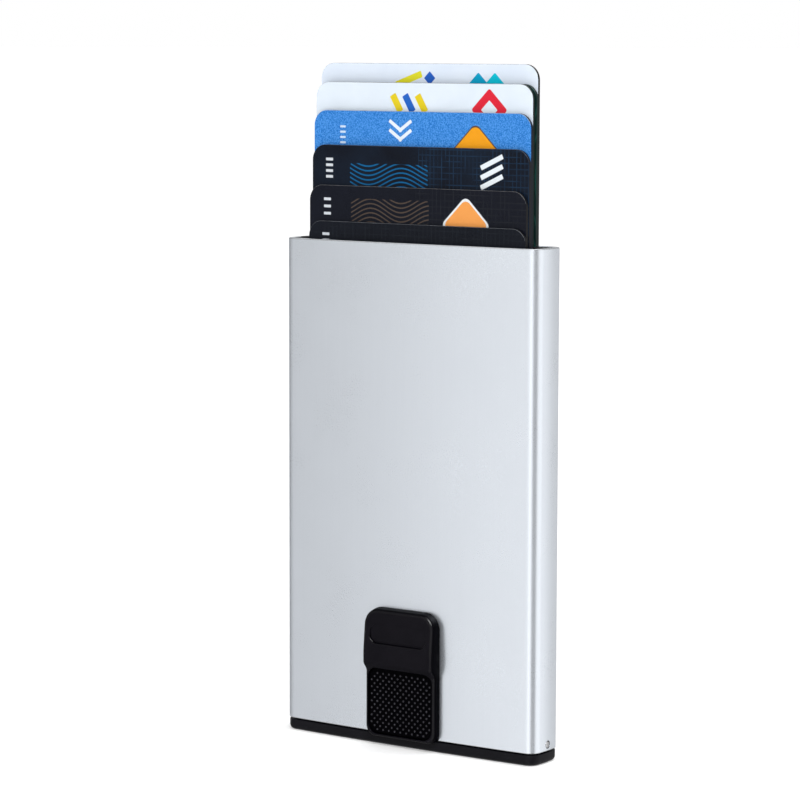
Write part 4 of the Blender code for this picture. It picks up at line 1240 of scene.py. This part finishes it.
def add_lamp(name, azimuth, elevation, distance, width, power):
    """A soft lamp that looks at the holder. Azimuth 0 is in front of it and 90 at its right."""
    lamp = bpy.data.lights.new(name, "AREA")
    lamp.shape = "SQUARE"
    lamp.size = width
    lamp.energy = power
    thing = bpy.data.objects.new(name, lamp)
    bpy.context.scene.collection.objects.link(thing)
    a, e = radians(azimuth), radians(elevation)
    back = Vector((sin(a) * cos(e), -cos(a) * cos(e), sin(e)))
    thing.location = back * distance + LAMP_AIM
    thing.rotation_euler = (-back).to_track_quat("-Z", "Y").to_euler()
    return thing


def seen_rays(tree):
    """1 for the rays that show a background, straight, in a mirror or through glass."""
    rays = tree.nodes.new("ShaderNodeLightPath").outputs
    seen = maths(tree, "MAXIMUM", rays["Is Camera Ray"], rays["Is Glossy Ray"])
    return maths(tree, "MAXIMUM", seen, rays["Is Transmission Ray"])


front_lamp = add_lamp("front_lamp", 30, 48, distance=1.4, width=0.7, power=10.5)
rear_lamp = add_lamp("rear_lamp", 150, 40, distance=1.5, width=0.8, power=9.0)
for soft_lamp in (front_lamp, rear_lamp):
    soft_lamp.visible_glossy = False
window = add_lamp("window", 33, 48, distance=1.4, width=0.8, power=28.0)
window.visible_diffuse = False

bpy.ops.object.select_all(action="DESELECT")
bpy.ops.mesh.primitive_plane_add(size=TABLE_SIZE, location=(0, 0, 0))
table = keep_place("white_table")
table_white, tree, shader = new_surface(
    "table_white", {"Roughness": 0.85, "Specular IOR Level": 0.1, "Emission Color": WHITE}
)
mottle = grain(tree, TABLE_MOTTLE)
tone = blend(tree, mottle, (0.90, 0.90, 0.90), (0.92, 0.92, 0.92))
tree.links.new(tone, shader.inputs["Base Color"])
distance = vector(tree, "LENGTH", object_place(tree))
lift = spread(tree, distance, SHADOW_REACH, WHITE_FROM, LIFT_NEAR, LIFT_FAR)
lift = maths(tree, "MULTIPLY", seen_rays(tree), lift)
tree.links.new(lift, shader.inputs["Emission Strength"])
table.data.materials.append(table_white)
table.visible_glossy = False

bpy.ops.object.select_all(action="DESELECT")
bpy.ops.mesh.primitive_cylinder_add(
    vertices=TENT_SIDES,
    radius=TENT_RADIUS,
    depth=TENT_TOP_Z - TENT_FOOT_Z,
    end_fill_type="NOTHING",
    location=(0, 0, (TENT_FOOT_Z + TENT_TOP_Z) / 2),
)
tent = keep_place("light_tent")
tent_cloth, tree, shader = new_surface(
    "tent_cloth", {"Roughness": 1.0, "Specular IOR Level": 0.0, "Base Color": BLACK}
)
round_place = axes(tree, object_place(tree))
towards_front = maths(tree, "MULTIPLY", round_place["Y"], -1.0)
turn = maths(tree, "ARCTAN2", round_place["X"], towards_front)
share = maths(tree, "ADD", maths(tree, "MULTIPLY", turn, 1 / (2 * pi)), 0.5)
panels = add_node(tree, "ShaderNodeValToRGB", {0: share})
stops = panels.color_ramp.elements
while len(stops) < len(TENT_SHADES):
    stops.new(0.5)
for stop, (azimuth, shade) in zip(stops, TENT_SHADES):
    stop.position = azimuth / 360 + 0.5
    stop.color = (shade, shade, shade, 1.0)
tree.links.new(panels.outputs[0], shader.inputs["Emission Color"])
dimming = spread(tree, round_place["Z"], DIM_FROM_Z, DIM_TO_Z, 1.0, DIM_SHARE)
tree.links.new(dimming, shader.inputs["Emission Strength"])
tent_cloth.cycles.emission_sampling = "NONE"
tent.data.materials.append(tent_cloth)
for ray in ("camera", "diffuse", "transmission", "shadow", "volume_scatter"):
    setattr(tent, f"visible_{ray}", False)

world = bpy.data.worlds.new("white_room")
bpy.context.scene.world = world
world.use_nodes = True
tree = world.node_tree
background = tree.nodes["Background"]
strength = spread(tree, seen_rays(tree), 0.0, 1.0, ROOM_LIGHT, 1.0)
tree.links.new(strength, background.inputs["Strength"])
background.inputs["Color"].default_value = WHITE

lens = bpy.data.cameras.new("camera")
lens.lens = FOCAL_LENGTH
lens.sensor_width = SENSOR_WIDTH
lens.clip_start = NEAREST
lens.clip_end = FARTHEST
camera = bpy.data.objects.new("camera", lens)
bpy.context.scene.collection.objects.link(camera)
for column, values in enumerate((CAMERA_RIGHT, CAMERA_UP, CAMERA_BACK, CAMERA_PLACE)):
    for row in (X, Y, Z):
        camera.matrix_world[row][column] = values[row]
bpy.context.scene.camera = camera
bpy.context.scene.view_settings.view_transform = "Standard"
